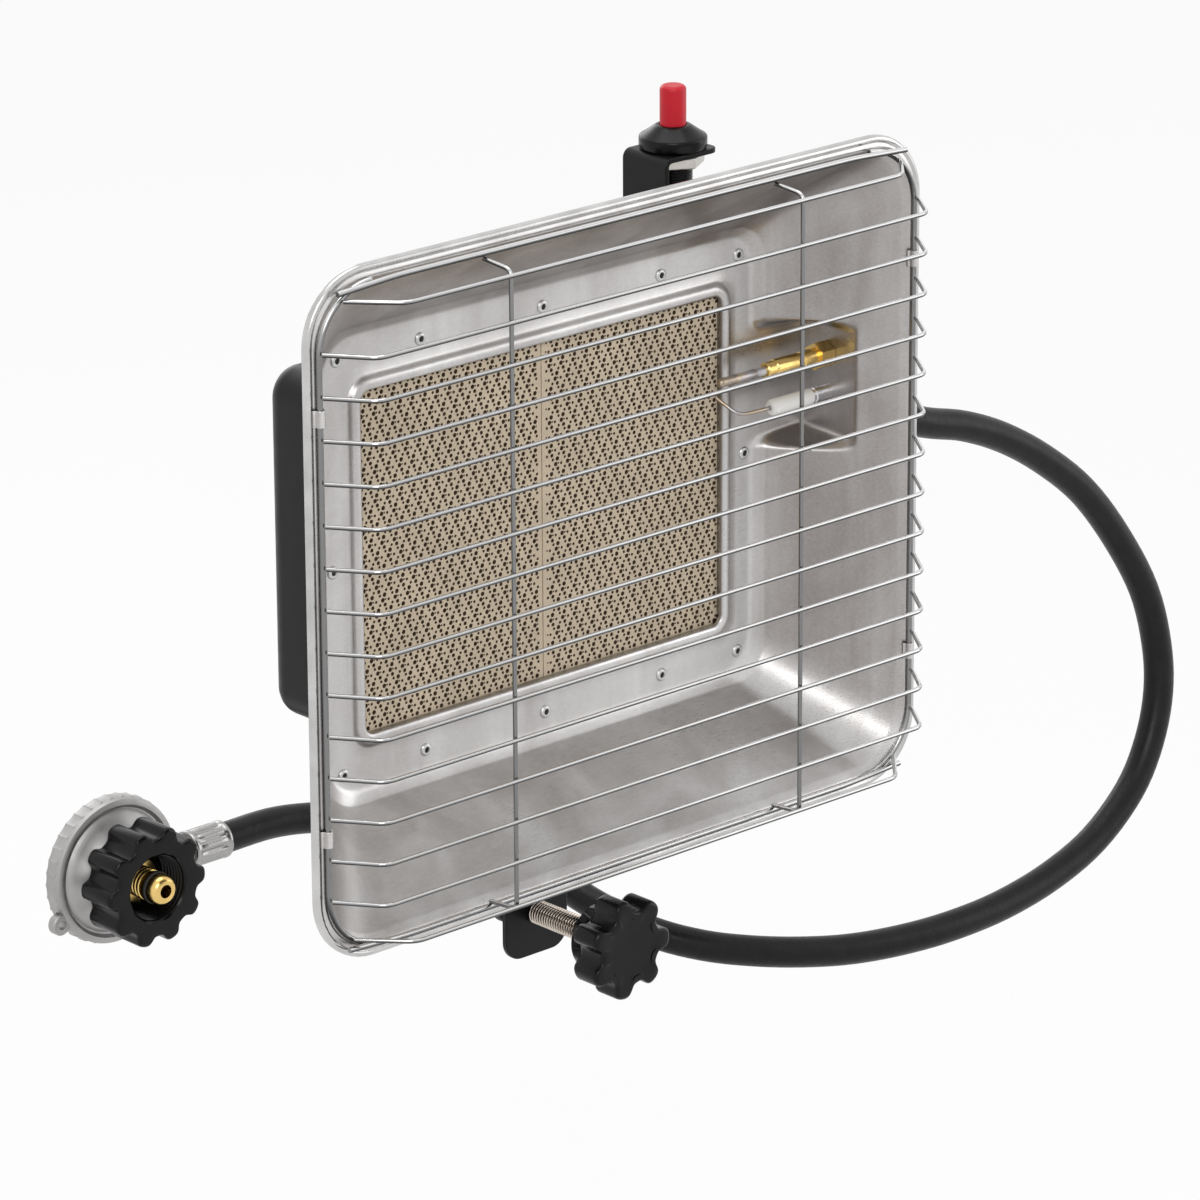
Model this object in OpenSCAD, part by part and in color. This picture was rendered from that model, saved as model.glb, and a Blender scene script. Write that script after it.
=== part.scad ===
// Portable propane heater that clamps on the collar of a gas cylinder.
// Millimetres, +Z up, the front faces -Y. The origin is the middle of the face
// of the clamp saddle that rests on the collar's top edge.
// Inside the head, x is sideways, y is the depth behind the rim and z is the
// height above the burner's middle.

/* [Reflector] */
// Width of the rim
rim_w = 386; // [370:1:410]
// Height of the rim
rim_h = 330; // [320:1:350]
// Corner radius of the rim
rim_r = 34; // [28:1:40]
// Width of the flat flange between the rolled lip and the dish
flange_w = 7; // [6:0.5:9]
// Depth of the rolled lip
lip_depth = 4; // [3:0.5:6]
// Thickness of the reflector sheet
sheet_t = 1.2; // [0.8:0.1:1.6]
// Depth of the dish down to its back plate
dish_depth = 58; // [54:1:64]
// How far each side wall leans in
flare_x = 47.5; // [45:0.5:49]
// How far the top and bottom walls lean in
flare_z = 45; // [43:0.5:46]
// Corner radius of the back plate
back_r = 20; // [16:1:24]
// Width of the raised ridge round the tile opening
ridge_w = 6; // [4:0.5:7]
// Height of the raised ridge
ridge_h = 3; // [2:0.5:4]

/* [Side pocket] */
// Distance from the middle to the pocket's flat face
pocket_x = 170; // [168:0.5:172]
// Height of the pocket's middle
pocket_z = 34; // [30:1:38]
// Height of the pocket
pocket_h = 60; // [56:1:70]

/* [Burner] */
// Width of one ceramic tile
tile_w = 116; // [110:0.5:117]
// Height of a tile
tile_h = 171; // [165:0.5:172]
// Thickness of a tile
tile_t = 12; // [10:0.5:14]
// Gap between the two tiles
tile_gap = 0.6; // [0.4:0.1:2]
// How far the sheet overlaps the tiles' edges
tile_lip = 2; // [1:0.5:4]
// Thickness of the fibre gasket round the tiles
gasket_w = 5; // [4:0.5:5.5]
// Sheet thickness of the burner box and the tile retainer
box_t = 1.2; // [0.8:0.1:1.6]
// Outer width of the burner box
box_w = 250; // [249:1:256]
// Outer height of the box where it takes the tiles
box_neck_h = 190; // [189:1:194]
// Outer height of the box behind the tiles
box_h = 172; // [150:1:180]
// Depth of the box behind the back plate
box_depth = 55; // [50:1:60]
// Corner radius of the box
box_r = 14; // [8:1:18]
// Width of the box's flange at its sides
box_flange_x = 12.5; // [10:0.5:13]
// Height of the box's flange above and below
box_flange_z = 11; // [10:0.5:12]
// Diameter of a rivet's shank
rivet_d = 4; // [3:0.2:4.8]
// Diameter of a rivet's head
rivet_head_d = 6.6; // [5.5:0.1:8]

/* [Guard] */
// Diameter of the front bars
bar_d = 2.2; // [1.8:0.1:3]
// Diameter of the frame wires on the rim
frame_d = 2.8; // [2.2:0.1:3.6]
// Number of full-width bars
bar_count = 14; // [10:2:14]
// Spacing of the bars
bar_pitch = 20; // [17:0.5:20.5]
// How far the bars stand in front of the rim
guard_reach = 25; // [20:1:32]
// Distance of the side wires inside the rim's edge
side_inset = 6; // [5:0.5:7]
// Distance of the top and bottom wires inside the rim's edge
cross_inset = 7; // [6:0.5:9]
// Sideways lean of a bar's bent end
leg_lean = 15; // [8:1:18]
// Distance from the middle to each upright
upright_x = 91.5; // [70:0.5:110]

/* [Igniter] */
// Thickness of the igniter bracket
bracket_t = 2.5; // [2:0.1:3.2]
// Distance from the middle to the bracket's inner face
bracket_x = 81.5; // [80:0.5:83]
// Depth of the bracket
bracket_d = 30; // [28:1:36]
// Height of the bracket's top face above the burner's middle
bracket_top_z = 156; // [150:1:180]
// Length of the bracket's top flange
bracket_reach = 35.5; // [34:0.5:40]
// Diameter of the igniter body
igniter_d = 19; // [17:0.5:20]
// Length of the igniter body
igniter_len = 46; // [42:1:50]
// Outer diameter of the bezel
bezel_d = 33; // [28:0.5:34]
// Height of the bezel
bezel_h = 13; // [11:0.5:16]
// Diameter of the ignition button
button_d = 12.8; // [11:0.1:13]
// How far the button stands out of the bezel
button_out = 18; // [14:1:22]
// Travel of the ignition button
button_travel = 6; // [4:0.5:8]

/* [Gas train] */
// Depth of the mixer tube's axis
mixer_y = 88; // [84:1:92]
// Height of the mixer tube's axis
mixer_z = -12; // [-20:1:0]
// Outer diameter of the mixer tube
mixer_d = 22; // [18:0.5:24]
// Where the mixer tube ends outside the box
mixer_end_x = 142; // [140:1:146]
// Air gap between the mixer tube and the jet
air_gap = 6; // [5:0.5:8]
// Diameter of the valve body
valve_d = 24; // [22:1:26]
// Length of the valve body
valve_len = 30; // [28:1:34]
// Diameter of the valve's push button
push_d = 15; // [12:0.5:18]
// Travel of the valve's push button
push_travel = 4; // [3:0.5:5]

/* [Flame sensor] */
// Depth of the sensor and the electrode behind the rim
probe_y = 40; // [38:0.5:42]
// Height of the thermocouple's axis above the pocket's middle
probe_rise = 12.5; // [11:0.5:14]
// Distance of the electrode below the pocket's middle
electrode_drop = 7; // [5:0.5:9]
// Distance from the middle to the probe's tip
probe_tip_x = 99; // [90:1:110]
// Diameter of the probe
probe_d = 4.6; // [3:0.1:5]
// Diameter of the brass sleeve
sleeve_d = 9; // [8:0.2:10]
// Diameter of the electrode's ceramic
ceramic_d = 8; // [6:0.2:9]

/* [Clamp] */
// Width of the saddle and of the support arm
saddle_w = 40; // [36:1:44]
// Thickness of the saddle and of the arm
saddle_t = 3; // [2.5:0.1:4]
// Clear width of the slot that takes the collar
slot_w = 46; // [44:1:50]
// Length of the outer leg below the collar's top
leg_out_h = 36; // [34:1:44]
// Length of the inner leg below the collar's top
leg_in_h = 33; // [28:1:40]
// Height of the burner's middle above the collar's top
head_z = 192; // [185:1:210]
// Distance of the screw's axis below the collar's top
screw_drop = 14; // [12:0.5:16]
// Diameter of the clamp screw
screw_d = 12; // [10:1:12]
// Thread length between the saddle and the knob
screw_out = 42; // [36:1:50]
// Distance from the saddle's outer leg to the pad's face
pad_reach = 21; // [20:1:24]
// Diameter of the pad
pad_d = 22; // [18:1:24]
// Diameter of the star knob
knob_d = 51; // [44:1:56]
// Thickness of the star
knob_t = 17; // [14:1:22]
// Diameter of the knob's hub
hub_d = 35; // [28:1:38]
// Length of the knob's hub
hub_t = 9; // [6:1:12]

/* [Regulator] */
// Diameter of the diaphragm housing
reg_d = 76; // [70:1:84]
// Thickness of the regulator body's rim
reg_rim_t = 6; // [5:0.5:8]
// Depth of the crimped cover
cover_t = 12; // [10:0.5:16]
// Outer diameter of the hand nut
nut_d = 62; // [54:1:64]
// Length of the hand nut
nut_len = 24; // [22:1:30]
// Inner diameter of the hand nut's thread
nut_thread_d = 34; // [32:0.5:36]
// Diameter of the brass nipple
nipple_d = 16; // [14:0.5:18]
// How far the nipple stands out of the nut
nipple_out = 6; // [4:1:10]

/* [Hose] */
// Outer diameter of the hose
hose_d = 16; // [14:0.5:17]
// Outer diameter of a crimped ferrule
ferrule_d = 19.6; // [19:0.2:21]
// Length of a ferrule
ferrule_len = 24; // [20:1:28]

/* [Clearances] */
// Clearance round a turning or sliding part
run_gap = 0.05; // [0.02:0.01:0.09]
// Clearance round a part that is pushed in and stays
seat_gap = 0.2; // [0.1:0.05:0.3]
// Gap between wires that cross
wire_gap = 0.05; // [0.02:0.01:0.2]

/* [Hidden] */
$fn = 48;
fine = 32;
cut = 1;
fuse = 0.5;

// Depths inside the head
sheet_back = dish_depth + sheet_t;
flange_back = sheet_back + box_t;
tile_back = sheet_back + tile_t;
neck_back = tile_back + box_t + fuse;
box_back = sheet_back + box_depth;
head_y = box_back - slot_w / 2;

// Reflector outlines
mouth_w = rim_w - 2 * flange_w;
mouth_h = rim_h - 2 * flange_w;
mouth_r = rim_r - flange_w;
back_w = mouth_w - 2 * flare_x;
back_h = mouth_h - 2 * flare_z;
opening_w = 2 * tile_w + tile_gap - 2 * tile_lip;
opening_h = tile_h - 2 * tile_lip;
opening_r = 5;

// Side pocket
pocket_front = dish_depth * (mouth_w / 2 - pocket_x) / flare_x - 4;
probe_z = pocket_z + probe_rise;
electrode_z = pocket_z - electrode_drop;
ceramic_front_x = pocket_x - 39;
ceramic_back_x = pocket_x + 12;
sleeve_front_x = pocket_x - 42;
sleeve_hex_len = 9;
sleeve_hex_af = 12;
probe_back_x = pocket_x + sheet_t + 6;
spark_x = ceramic_back_x + 4;
ceramic_bore = 3.4;
electrode_d = 1.8;
spark_lead_d = 3;
sensor_lead_d = 2.6;

// Burner stack, as half sizes of the tile block
block_w = 2 * tile_w + tile_gap;
gasket_in = 2 * seat_gap;
gasket_out = gasket_in + 2 * gasket_w;
retainer_in = gasket_out + 2 * seat_gap;
retainer_out = retainer_in + 2 * box_t;
retainer_margin = 8;
retainer_r = box_r - box_t - seat_gap;
flange_out_w = box_w + 2 * box_flange_x;
flange_out_h = box_neck_h + 2 * box_flange_z;

// Rivets: five above, five below and one at each side
rivet_z = (box_neck_h + box_flange_z) / 2 + 0.5;
rivet_side_x = (box_w + box_flange_x) / 2;
rivet_far_x = box_w / 2 + 2;
rivet_near_x = bracket_x - 5.5;
rivet_head_t = 1.2;
rivet_tail_t = 2.6;
rivet_places = concat(
    [for (s = [-1, 1]) for (x = [-rivet_far_x, -rivet_near_x, 0, rivet_near_x, rivet_far_x])
        [x, s * rivet_z]],
    [for (s = [-1, 1]) [s * rivet_side_x, 0]]
);

// Guard
side_x = rim_w / 2 - side_inset;
side_y = -frame_d / 2 - wire_gap;
cross_z = rim_h / 2 - cross_inset;
cross_y = side_y - frame_d - wire_gap;
bar_touch = (frame_d + bar_d) / 2 + wire_gap;
bar_bend_x = side_x - leg_lean;
end_bar_x = side_x - 32;
end_bar_z = cross_z - 6;
side_corner_r = 31;
upright_y = bar_d + wire_gap - guard_reach;
upright_bend_z = cross_z - 4;
tab_z = 5 * bar_pitch;
tab_h = 8;
tab_wall = 1;

// Igniter
bracket_y = flange_back;
bracket_foot_z = box_neck_h / 2 + 1;
bracket_foot_h = 24;
bracket_foot_w = 22;
igniter_x = bracket_x + bracket_t + (bracket_reach - bracket_t) / 2;
igniter_y = bracket_y + bracket_d / 2;
flange_low_z = bracket_top_z - bracket_t;
igniter_nut_h = 5.5;
igniter_nut_af = 27;
igniter_low_z = bracket_top_z + 2 - igniter_len;
igniter_floor_z = igniter_low_z + 18;
button_top_z = bracket_top_z + bezel_h + button_out;
spring_solid_h = 12;
button_low_z = igniter_floor_z + spring_solid_h + button_travel;

// Gas train
mixer_inside = 90;
mixer_wall = 1.5;
jet_x = mixer_end_x + air_gap;
jet_len = 7;
stub_x = jet_x + jet_len;
stub_d = 12;
jet_tip_d = 6;
jet_hex_af = 10;
jet_hole_d = 1.2;
gas_way_d = 6;
valve_nut_t = 5;
valve_nut_af = 17;
hanger_t = 2;
hanger_x = stub_x + 6 + valve_nut_t;
valve_x = hanger_x + hanger_t;
valve_end_x = valve_x + valve_len;
valve_mid_x = valve_x + valve_len / 2;
hanger_h = 36;
hanger_web_y = mixer_y + 14;
boss_d = 18;
boss_reach = 14;
boss_top_z = mixer_z + valve_d / 2 + boss_reach;
boss_low_z = mixer_z - valve_d / 2 - boss_reach;
push_gap = push_travel + 4;
push_h = 8;
stem_d = 5;
stem_in = 6;
inlet_hex_t = 8;
hose_stub = 8;
ferrule_on_stub = 7;
hose_start_x = valve_end_x + inlet_hex_t + hose_stub;

// Clamp, in the part's own frame
outer_leg_y = -slot_w / 2;
inner_leg_y = slot_w / 2;
plate_front_y = outer_leg_y - saddle_t;
weld_nut_t = 8;
weld_nut_af = 19;
screw_z = -screw_drop;
pad_face_y = outer_leg_y + pad_reach;
pad_t = 8;
screw_tip_d = 8;
pad_floor = 3;
knob_lobes = 7;
knob_flute = 6.5;
lobe_sharpness = 0.35;
hub_back_y = plate_front_y - screw_out;
star_back_y = hub_back_y - hub_t;
knob_face_y = star_back_y - knob_t;
leg_corner_r = 10;
arm_over_box = 52;
arm_screw_d = 5;
arm_screw_gap = 22;
arm_screw_z = arm_over_box - box_h / 2 - 10;

// Regulator: r is its own frame, with z along the nipple, which faces -Y
reg_at = [-85, 196, -33];
reg_hub_t = 8;
nipple_shoulder_t = 3;
seal_d = 2.4;
nut_low = reg_rim_t / 2 + reg_hub_t + 0.3;
nut_web_t = 5;
nipple_end = nut_low + nut_len + nipple_out;
nipple_bore = nipple_d - 9;
nose_len = 4;
seal_at = nipple_end - 9;
nut_lobes = 10;
nut_flute = 5;
reg_seat_d = reg_d - 12;
diaphragm_t = 1.5;
outlet_x = 42;
outlet_y = -reg_hub_t / 2;

// Hose: the route from the valve's inlet, round to the regulator
hose_begin = [hose_start_x, mixer_y - head_y, mixer_z + head_z];
hose_finish = reg_at + [outlet_x + hose_stub, outlet_y, 0];
hose_straight = ferrule_len - ferrule_on_stub + 2;
hose_route = [
    hose_begin,
    hose_begin + [hose_straight, 0, 0],
    [262, -4, 175],
    [290, -4, 166],
    [315, -4, 159],
    [343, -4, 147],
    [373, -4, 129],
    [403, -5, 105],
    [429, -6, 74],
    [450, -8, 40],
    [459, -10, 8],
    [458, -13, -18],
    [448, -16, -43],
    [430, -19, -65],
    [400, -22, -84],
    [365, -24, -95],
    [327, -25, -101],
    [290, -24, -103],
    [258, -20, -103],
    [227, -14, -101],
    [199, -6, -97],
    [173, 4, -92],
    [150, 16, -86],
    [132, 34, -79],
    [122, 62, -71],
    [118, 95, -63],
    [108, 130, -55],
    [88, 162, -47],
    [62, 183, -40],
    [38, 190, -36],
    [13, 192, -33],
    hose_finish + [hose_straight, 0, 0],
    hose_finish
];

// ---------------------------------------------------------------- helpers

module at_head() {
    translate([0, -head_y, head_z]) children();
}

module rounded(w, h, r) {
    square([w - 2 * r, h], center = true);
    square([w, h - 2 * r], center = true);
    for (sx = [-1, 1]) for (sy = [-1, 1])
        translate([sx * (w / 2 - r), sy * (h / 2 - r)]) circle(r = r);
}

// A rounded plate across the depth, from y to y + t
module panel(w, h, r, y, t) {
    translate([0, y, 0]) rotate([-90, 0, 0]) linear_extrude(t) rounded(w, h, r);
}

// A rounded frame across the depth
module panel_ring(w, h, r, wall, y, t) {
    difference() {
        panel(w + 2 * wall, h + 2 * wall, r + wall, y, t);
        panel(w, h, r, y - cut, t + 2 * cut);
    }
}

module rod_x(x0, x1, y, z, d) {
    translate([x0, y, z]) rotate([0, 90, 0]) cylinder(d = d, h = x1 - x0);
}

module rod_y(y0, y1, x, z, d) {
    translate([x, y0, z]) rotate([-90, 0, 0]) cylinder(d = d, h = y1 - y0);
}

module rod_z(z0, z1, x, y, d) {
    translate([x, y, z0]) cylinder(d = d, h = z1 - z0);
}

module hexagon(af, h) {
    cylinder(d = af / cos(30), h = h, $fn = 6);
}

module hex_x(x0, x1, y, z, af) {
    translate([x0, y, z]) rotate([0, 90, 0]) hexagon(af, x1 - x0);
}

module hex_y(y0, y1, x, z, af) {
    translate([x, y0, z]) rotate([-90, 0, 0]) hexagon(af, y1 - y0);
}

function unit(v) = v / norm(v);
function step_dir(p, i) = unit(p[min(i + 1, len(p) - 1)] - p[min(i, len(p) - 2)]);
function tangent(p, i) = unit(step_dir(p, i) + step_dir(p, max(i - 1, 0)));
function square_to(n, t) = unit(n - (n * t) * t);
function some_normal(t) = square_to(abs(t[2]) < 0.7 ? [0, 0, 1] : [1, 0, 0], t);
function carried(p, i, n) = square_to(n, tangent(p, i));
function normals(p) =
    [for (i = 0, n = some_normal(tangent(p, 0)); i < len(p);
          i = i + 1, n = carried(p, min(i, len(p) - 1), n)) n];
function ring(c, n, t, r, sides) =
    let (m = cross(t, n))
    [for (k = [0 : sides - 1]) c + r * (cos(360 * k / sides) * n + sin(360 * k / sides) * m)];

// A round tube swept along a list of points
module tube(p, d, sides = 10) {
    ns = normals(p);
    rings = [for (i = [0 : len(p) - 1])
        let (t = tangent(p, i)) ring(p[i], square_to(ns[i], t), t, d / 2, sides)];
    pts = [for (r = rings) each r];
    walls = [for (i = [0 : len(p) - 2]) for (k = [0 : sides - 1])
        let (a = i * sides + k, b = i * sides + (k + 1) % sides)
        each [[a, b, b + sides], [a, b + sides, a + sides]]];
    last = (len(p) - 1) * sides;
    caps = [[for (k = [sides - 1 : -1 : 0]) k], [for (k = [0 : sides - 1]) last + k]];
    polyhedron(pts, concat([for (w = walls) [w[2], w[1], w[0]]],
        [for (c = caps) [for (k = [len(c) - 1 : -1 : 0]) c[k]]]));
}

// Bends each corner of a list of points to a curve that starts r before it
function bezier(a, b, c, s) = (1 - s) * (1 - s) * a + 2 * s * (1 - s) * b + s * s * c;
function toward(a, b, r) = a + min(r, 0.45 * norm(b - a)) * unit(b - a);
function bent(p, r, n = 4) = [
    p[0],
    for (i = [1 : len(p) - 2])
        let (a = toward(p[i], p[i - 1], r), c = toward(p[i], p[i + 1], r))
        for (k = [0 : n]) bezier(a, p[i], c, k / n),
    p[len(p) - 1]
];

// A coil spring that stands on z0 round an upright axis
module coil(x, y, z0, z1, d, wire, turns) {
    low = z0 + wire / 2;
    high = z1 - wire / 2;
    steps = 10;
    tube([for (k = [0 : turns * steps])
        let (a = 360 * k / steps, s = k / (turns * steps))
        [x + (d - wire) / 2 * cos(a), y + (d - wire) / 2 * sin(a), low + s * (high - low)]],
        wire, 6);
}

// ---------------------------------------------------------------- reflector

module dish(w, h, r, y0, grow) {
    hull() {
        panel(w + 2 * grow, h + 2 * grow, r + grow, y0, 0.01, $fn = fine);
        panel(back_w + 2 * grow, back_h + 2 * grow, back_r + grow,
              dish_depth + grow - 0.01, 0.01, $fn = fine);
    }
}

module pocket(grow) {
    x0 = back_w / 2 - 6;
    translate([x0, pocket_front, pocket_z - pocket_h / 2 - grow])
        cube([pocket_x + grow - x0, dish_depth + grow - pocket_front, pocket_h + 2 * grow]);
}

module wire_tab(sx, z) {
    translate([sx * side_x, side_y, z - tab_h / 2])
        cylinder(d = frame_d + 2 * wire_gap + 2 * tab_wall, h = tab_h);
}

module reflector() {
    lead = 1;
    color([0.82, 0.83, 0.84]) at_head() difference() {
        union() {
            panel(rim_w, rim_h, rim_r, 0, sheet_t);
            panel_ring(rim_w - 2 * sheet_t, rim_h - 2 * sheet_t, rim_r - sheet_t, sheet_t,
                       0, lip_depth);
            dish(mouth_w, mouth_h, mouth_r, 0, sheet_t);
            pocket(sheet_t);
            for (sx = [-1, 1]) for (s = [-1, 1]) wire_tab(sx, s * tab_z);
        }
        difference() {
            union() {
                dish(mouth_w + 2 * lead * flare_x / dish_depth,
                     mouth_h + 2 * lead * flare_z / dish_depth, mouth_r, -lead, 0);
                pocket(0);
            }
            panel(opening_w + 2 * ridge_w, opening_h + 2 * ridge_w, opening_r + ridge_w,
                  dish_depth - ridge_h, ridge_h + cut);
            for (sx = [-1, 1]) for (s = [-1, 1]) wire_tab(sx, s * tab_z);
        }
        panel(opening_w, opening_h, opening_r, dish_depth - ridge_h - cut,
              ridge_h + sheet_t + 2 * cut);
        for (p = rivet_places)
            rod_y(dish_depth - cut, sheet_back + cut, p[0], p[1], rivet_d);
        rod_x(pocket_x - cut, pocket_x + sheet_t + cut, probe_y, probe_z, sleeve_d);
        rod_x(pocket_x - cut, pocket_x + sheet_t + cut, probe_y, electrode_z,
              ceramic_d + seat_gap);
        for (sx = [-1, 1]) for (s = [-1, 1])
            rod_z(s * tab_z - tab_h / 2 - cut, s * tab_z + tab_h / 2 + cut,
                  sx * side_x, side_y, frame_d + 2 * wire_gap);
    }
}

module frame_rivets() {
    recess_d = rivet_d / 2;
    color([0.75, 0.76, 0.78]) at_head() for (p = rivet_places) {
        held = p == [rivet_near_x, rivet_z] ? bracket_t : 0;
        difference() {
            union() {
                rod_y(dish_depth - rivet_head_t, dish_depth, p[0], p[1], rivet_head_d);
                rod_y(dish_depth - fuse, flange_back + held + fuse, p[0], p[1], rivet_d);
                rod_y(flange_back + held, flange_back + held + rivet_tail_t, p[0], p[1],
                      rivet_d + 2);
            }
            rod_y(dish_depth - rivet_head_t - cut, dish_depth, p[0], p[1], recess_d);
        }
    }
}

// ---------------------------------------------------------------- burner

module tile(s) {
    color([0.79, 0.71, 0.6]) at_head()
        translate([s > 0 ? tile_gap / 2 : -tile_gap / 2 - tile_w, sheet_back, -tile_h / 2])
            cube([tile_w, tile_t, tile_h]);
}

module tile_left() tile(-1);

module tile_right() tile(1);

module tile_gasket() {
    color([0.93, 0.92, 0.88]) at_head() difference() {
        panel(block_w + gasket_out, tile_h + gasket_out, retainer_r - box_t - seat_gap,
              sheet_back, tile_t);
        panel(block_w + gasket_in, tile_h + gasket_in, seat_gap, sheet_back - cut,
              tile_t + 2 * cut);
    }
}

module tile_retainer() {
    color([0.6, 0.61, 0.62]) at_head() {
        panel_ring(block_w + retainer_in, tile_h + retainer_in, retainer_r - box_t, box_t,
                   sheet_back, tile_t);
        difference() {
            panel(block_w + retainer_out, tile_h + retainer_out, retainer_r, tile_back, box_t);
            panel(block_w - 2 * retainer_margin, tile_h - 2 * retainer_margin, 6,
                  tile_back - cut, box_t + 2 * cut);
        }
    }
}

module burner_box() {
    color([0.07, 0.07, 0.08]) at_head() difference() {
        union() {
            panel(flange_out_w, flange_out_h, 8, sheet_back, box_t);
            panel(box_w, box_neck_h, box_r, sheet_back, neck_back + box_t - sheet_back);
            panel(box_w, box_h, box_r, neck_back, box_back - neck_back);
        }
        panel(box_w - 2 * box_t, box_neck_h - 2 * box_t, box_r - box_t, sheet_back - cut,
              neck_back - sheet_back + cut);
        panel(box_w - 2 * box_t, box_h - 2 * box_t, box_r - box_t, sheet_back - cut,
              box_back - box_t - sheet_back + cut);
        for (p = rivet_places)
            rod_y(sheet_back - cut, flange_back + cut, p[0], p[1], rivet_d);
        rod_x(box_w / 2 - 2 * box_t, box_w / 2 + cut, mixer_y, mixer_z, mixer_d);
        arm_screw_holes(box_back - 2 * box_t, box_back + cut);
    }
}

// ---------------------------------------------------------------- guard

module guard_bars() {
    leg_y = side_y - bar_touch;
    corner_z = cross_z - side_corner_r;
    end_leg_x = side_x - side_corner_r
        + sqrt(pow(side_corner_r, 2) - pow(end_bar_z - corner_z, 2));
    color([0.8, 0.81, 0.83]) at_head() {
        for (k = [0 : bar_count - 1])
            let (z = (k - (bar_count - 1) / 2) * bar_pitch)
            tube(bent([[-side_x, leg_y, z], [-bar_bend_x, -guard_reach, z],
                       [bar_bend_x, -guard_reach, z], [side_x, leg_y, z]], 5), bar_d);
        for (s = [-1, 1])
            tube(bent([[-end_leg_x, leg_y, s * end_bar_z],
                       [-end_bar_x, -guard_reach, s * end_bar_z],
                       [end_bar_x, -guard_reach, s * end_bar_z],
                       [end_leg_x, leg_y, s * end_bar_z]], 5), bar_d);
    }
}

module guard_uprights() {
    end_z = cross_z - bar_touch;
    color([0.78, 0.79, 0.81]) at_head() for (sx = [-1, 1])
        tube(bent([[sx * upright_x, cross_y, -end_z],
                   [sx * upright_x, upright_y, -upright_bend_z],
                   [sx * upright_x, upright_y, upright_bend_z],
                   [sx * upright_x, cross_y, end_z]], 4), bar_d);
}

module guard_side_wires() {
    steps = 6;
    upper = [for (k = [0 : steps])
        [side_x - side_corner_r * (1 - sin(90 * k / steps)),
         cross_z - side_corner_r * (1 - cos(90 * k / steps))]];
    color([0.8, 0.81, 0.83]) at_head() for (sx = [-1, 1])
        tube(concat([for (p = upper) [sx * p[0], side_y, p[1]]],
                    [for (k = [steps : -1 : 0]) [sx * upper[k][0], side_y, -upper[k][1]]]),
             frame_d);
}

module guard_cross_wires() {
    tip_drop = 2;
    tip_x = side_x - 9;
    bend_x = tip_x - 35;
    tip_z = cross_z - tip_drop;
    color([0.8, 0.81, 0.83]) at_head() for (s = [-1, 1])
        tube(bent([[-tip_x, cross_y, s * tip_z], [-bend_x, cross_y, s * cross_z],
                   [bend_x, cross_y, s * cross_z], [tip_x, cross_y, s * tip_z]], 8), frame_d);
}

// ---------------------------------------------------------------- gas train

module mixer_tube() {
    inner_end = box_w / 2 - mixer_inside;
    color([0.62, 0.63, 0.65]) at_head() difference() {
        rod_x(inner_end, mixer_end_x, mixer_y, mixer_z, mixer_d);
        rod_x(inner_end - cut, mixer_end_x + cut, mixer_y, mixer_z, mixer_d - 2 * mixer_wall);
    }
}

module mixer_bracket() {
    tube_plate_x = mixer_end_x - 4;
    low_z = mixer_z - hanger_h / 2;
    front_y = mixer_y - 15;
    color([0.55, 0.56, 0.58]) at_head() difference() {
        union() {
            translate([tube_plate_x, front_y, low_z])
                cube([hanger_t, hanger_web_y - front_y, hanger_h]);
            translate([hanger_x, front_y, low_z])
                cube([hanger_t, hanger_web_y - front_y, hanger_h]);
            translate([tube_plate_x, hanger_web_y, low_z])
                cube([hanger_x + hanger_t - tube_plate_x, hanger_t, hanger_h]);
        }
        rod_x(tube_plate_x - cut, tube_plate_x + hanger_t + cut, mixer_y, mixer_z, mixer_d);
        rod_x(hanger_x - cut, hanger_x + hanger_t + cut, mixer_y, mixer_z, stub_d);
    }
}

module gas_jet() {
    tip_len = 2;
    color([0.8, 0.64, 0.3]) at_head() difference() {
        union() {
            hex_x(jet_x + tip_len, stub_x, mixer_y, mixer_z, jet_hex_af);
            rod_x(jet_x, jet_x + tip_len + fuse, mixer_y, mixer_z, jet_tip_d);
        }
        rod_x(jet_x - cut, stub_x + cut, mixer_y, mixer_z, jet_hole_d);
    }
}

module valve_body() {
    color([0.72, 0.73, 0.74]) at_head() difference() {
        union() {
            rod_x(valve_x, valve_end_x, mixer_y, mixer_z, valve_d);
            rod_x(stub_x, valve_x + fuse, mixer_y, mixer_z, stub_d);
            rod_z(boss_low_z, boss_top_z, valve_mid_x, mixer_y, boss_d);
        }
        rod_x(stub_x - cut, valve_end_x + cut, mixer_y, mixer_z, gas_way_d);
        rod_z(mixer_z, boss_top_z + cut, valve_mid_x, mixer_y, stem_d + 2 * run_gap);
    }
}

module valve_locknut() {
    color([0.75, 0.72, 0.6]) at_head() difference() {
        hex_x(hanger_x - valve_nut_t, hanger_x, mixer_y, mixer_z, valve_nut_af);
        rod_x(hanger_x - valve_nut_t - cut, hanger_x + cut, mixer_y, mixer_z, stub_d);
    }
}

module valve_push() {
    cap_z = boss_top_z + push_gap;
    color([0.09, 0.09, 0.1]) at_head() {
        rod_z(cap_z, cap_z + push_h, valve_mid_x, mixer_y, push_d);
        rod_z(boss_top_z - stem_in, cap_z + fuse, valve_mid_x, mixer_y, stem_d);
    }
}

module valve_spring() {
    color([0.7, 0.71, 0.73]) at_head()
        coil(valve_mid_x, mixer_y, boss_top_z, boss_top_z + push_gap, stem_d + 6, 1, 3);
}

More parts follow.
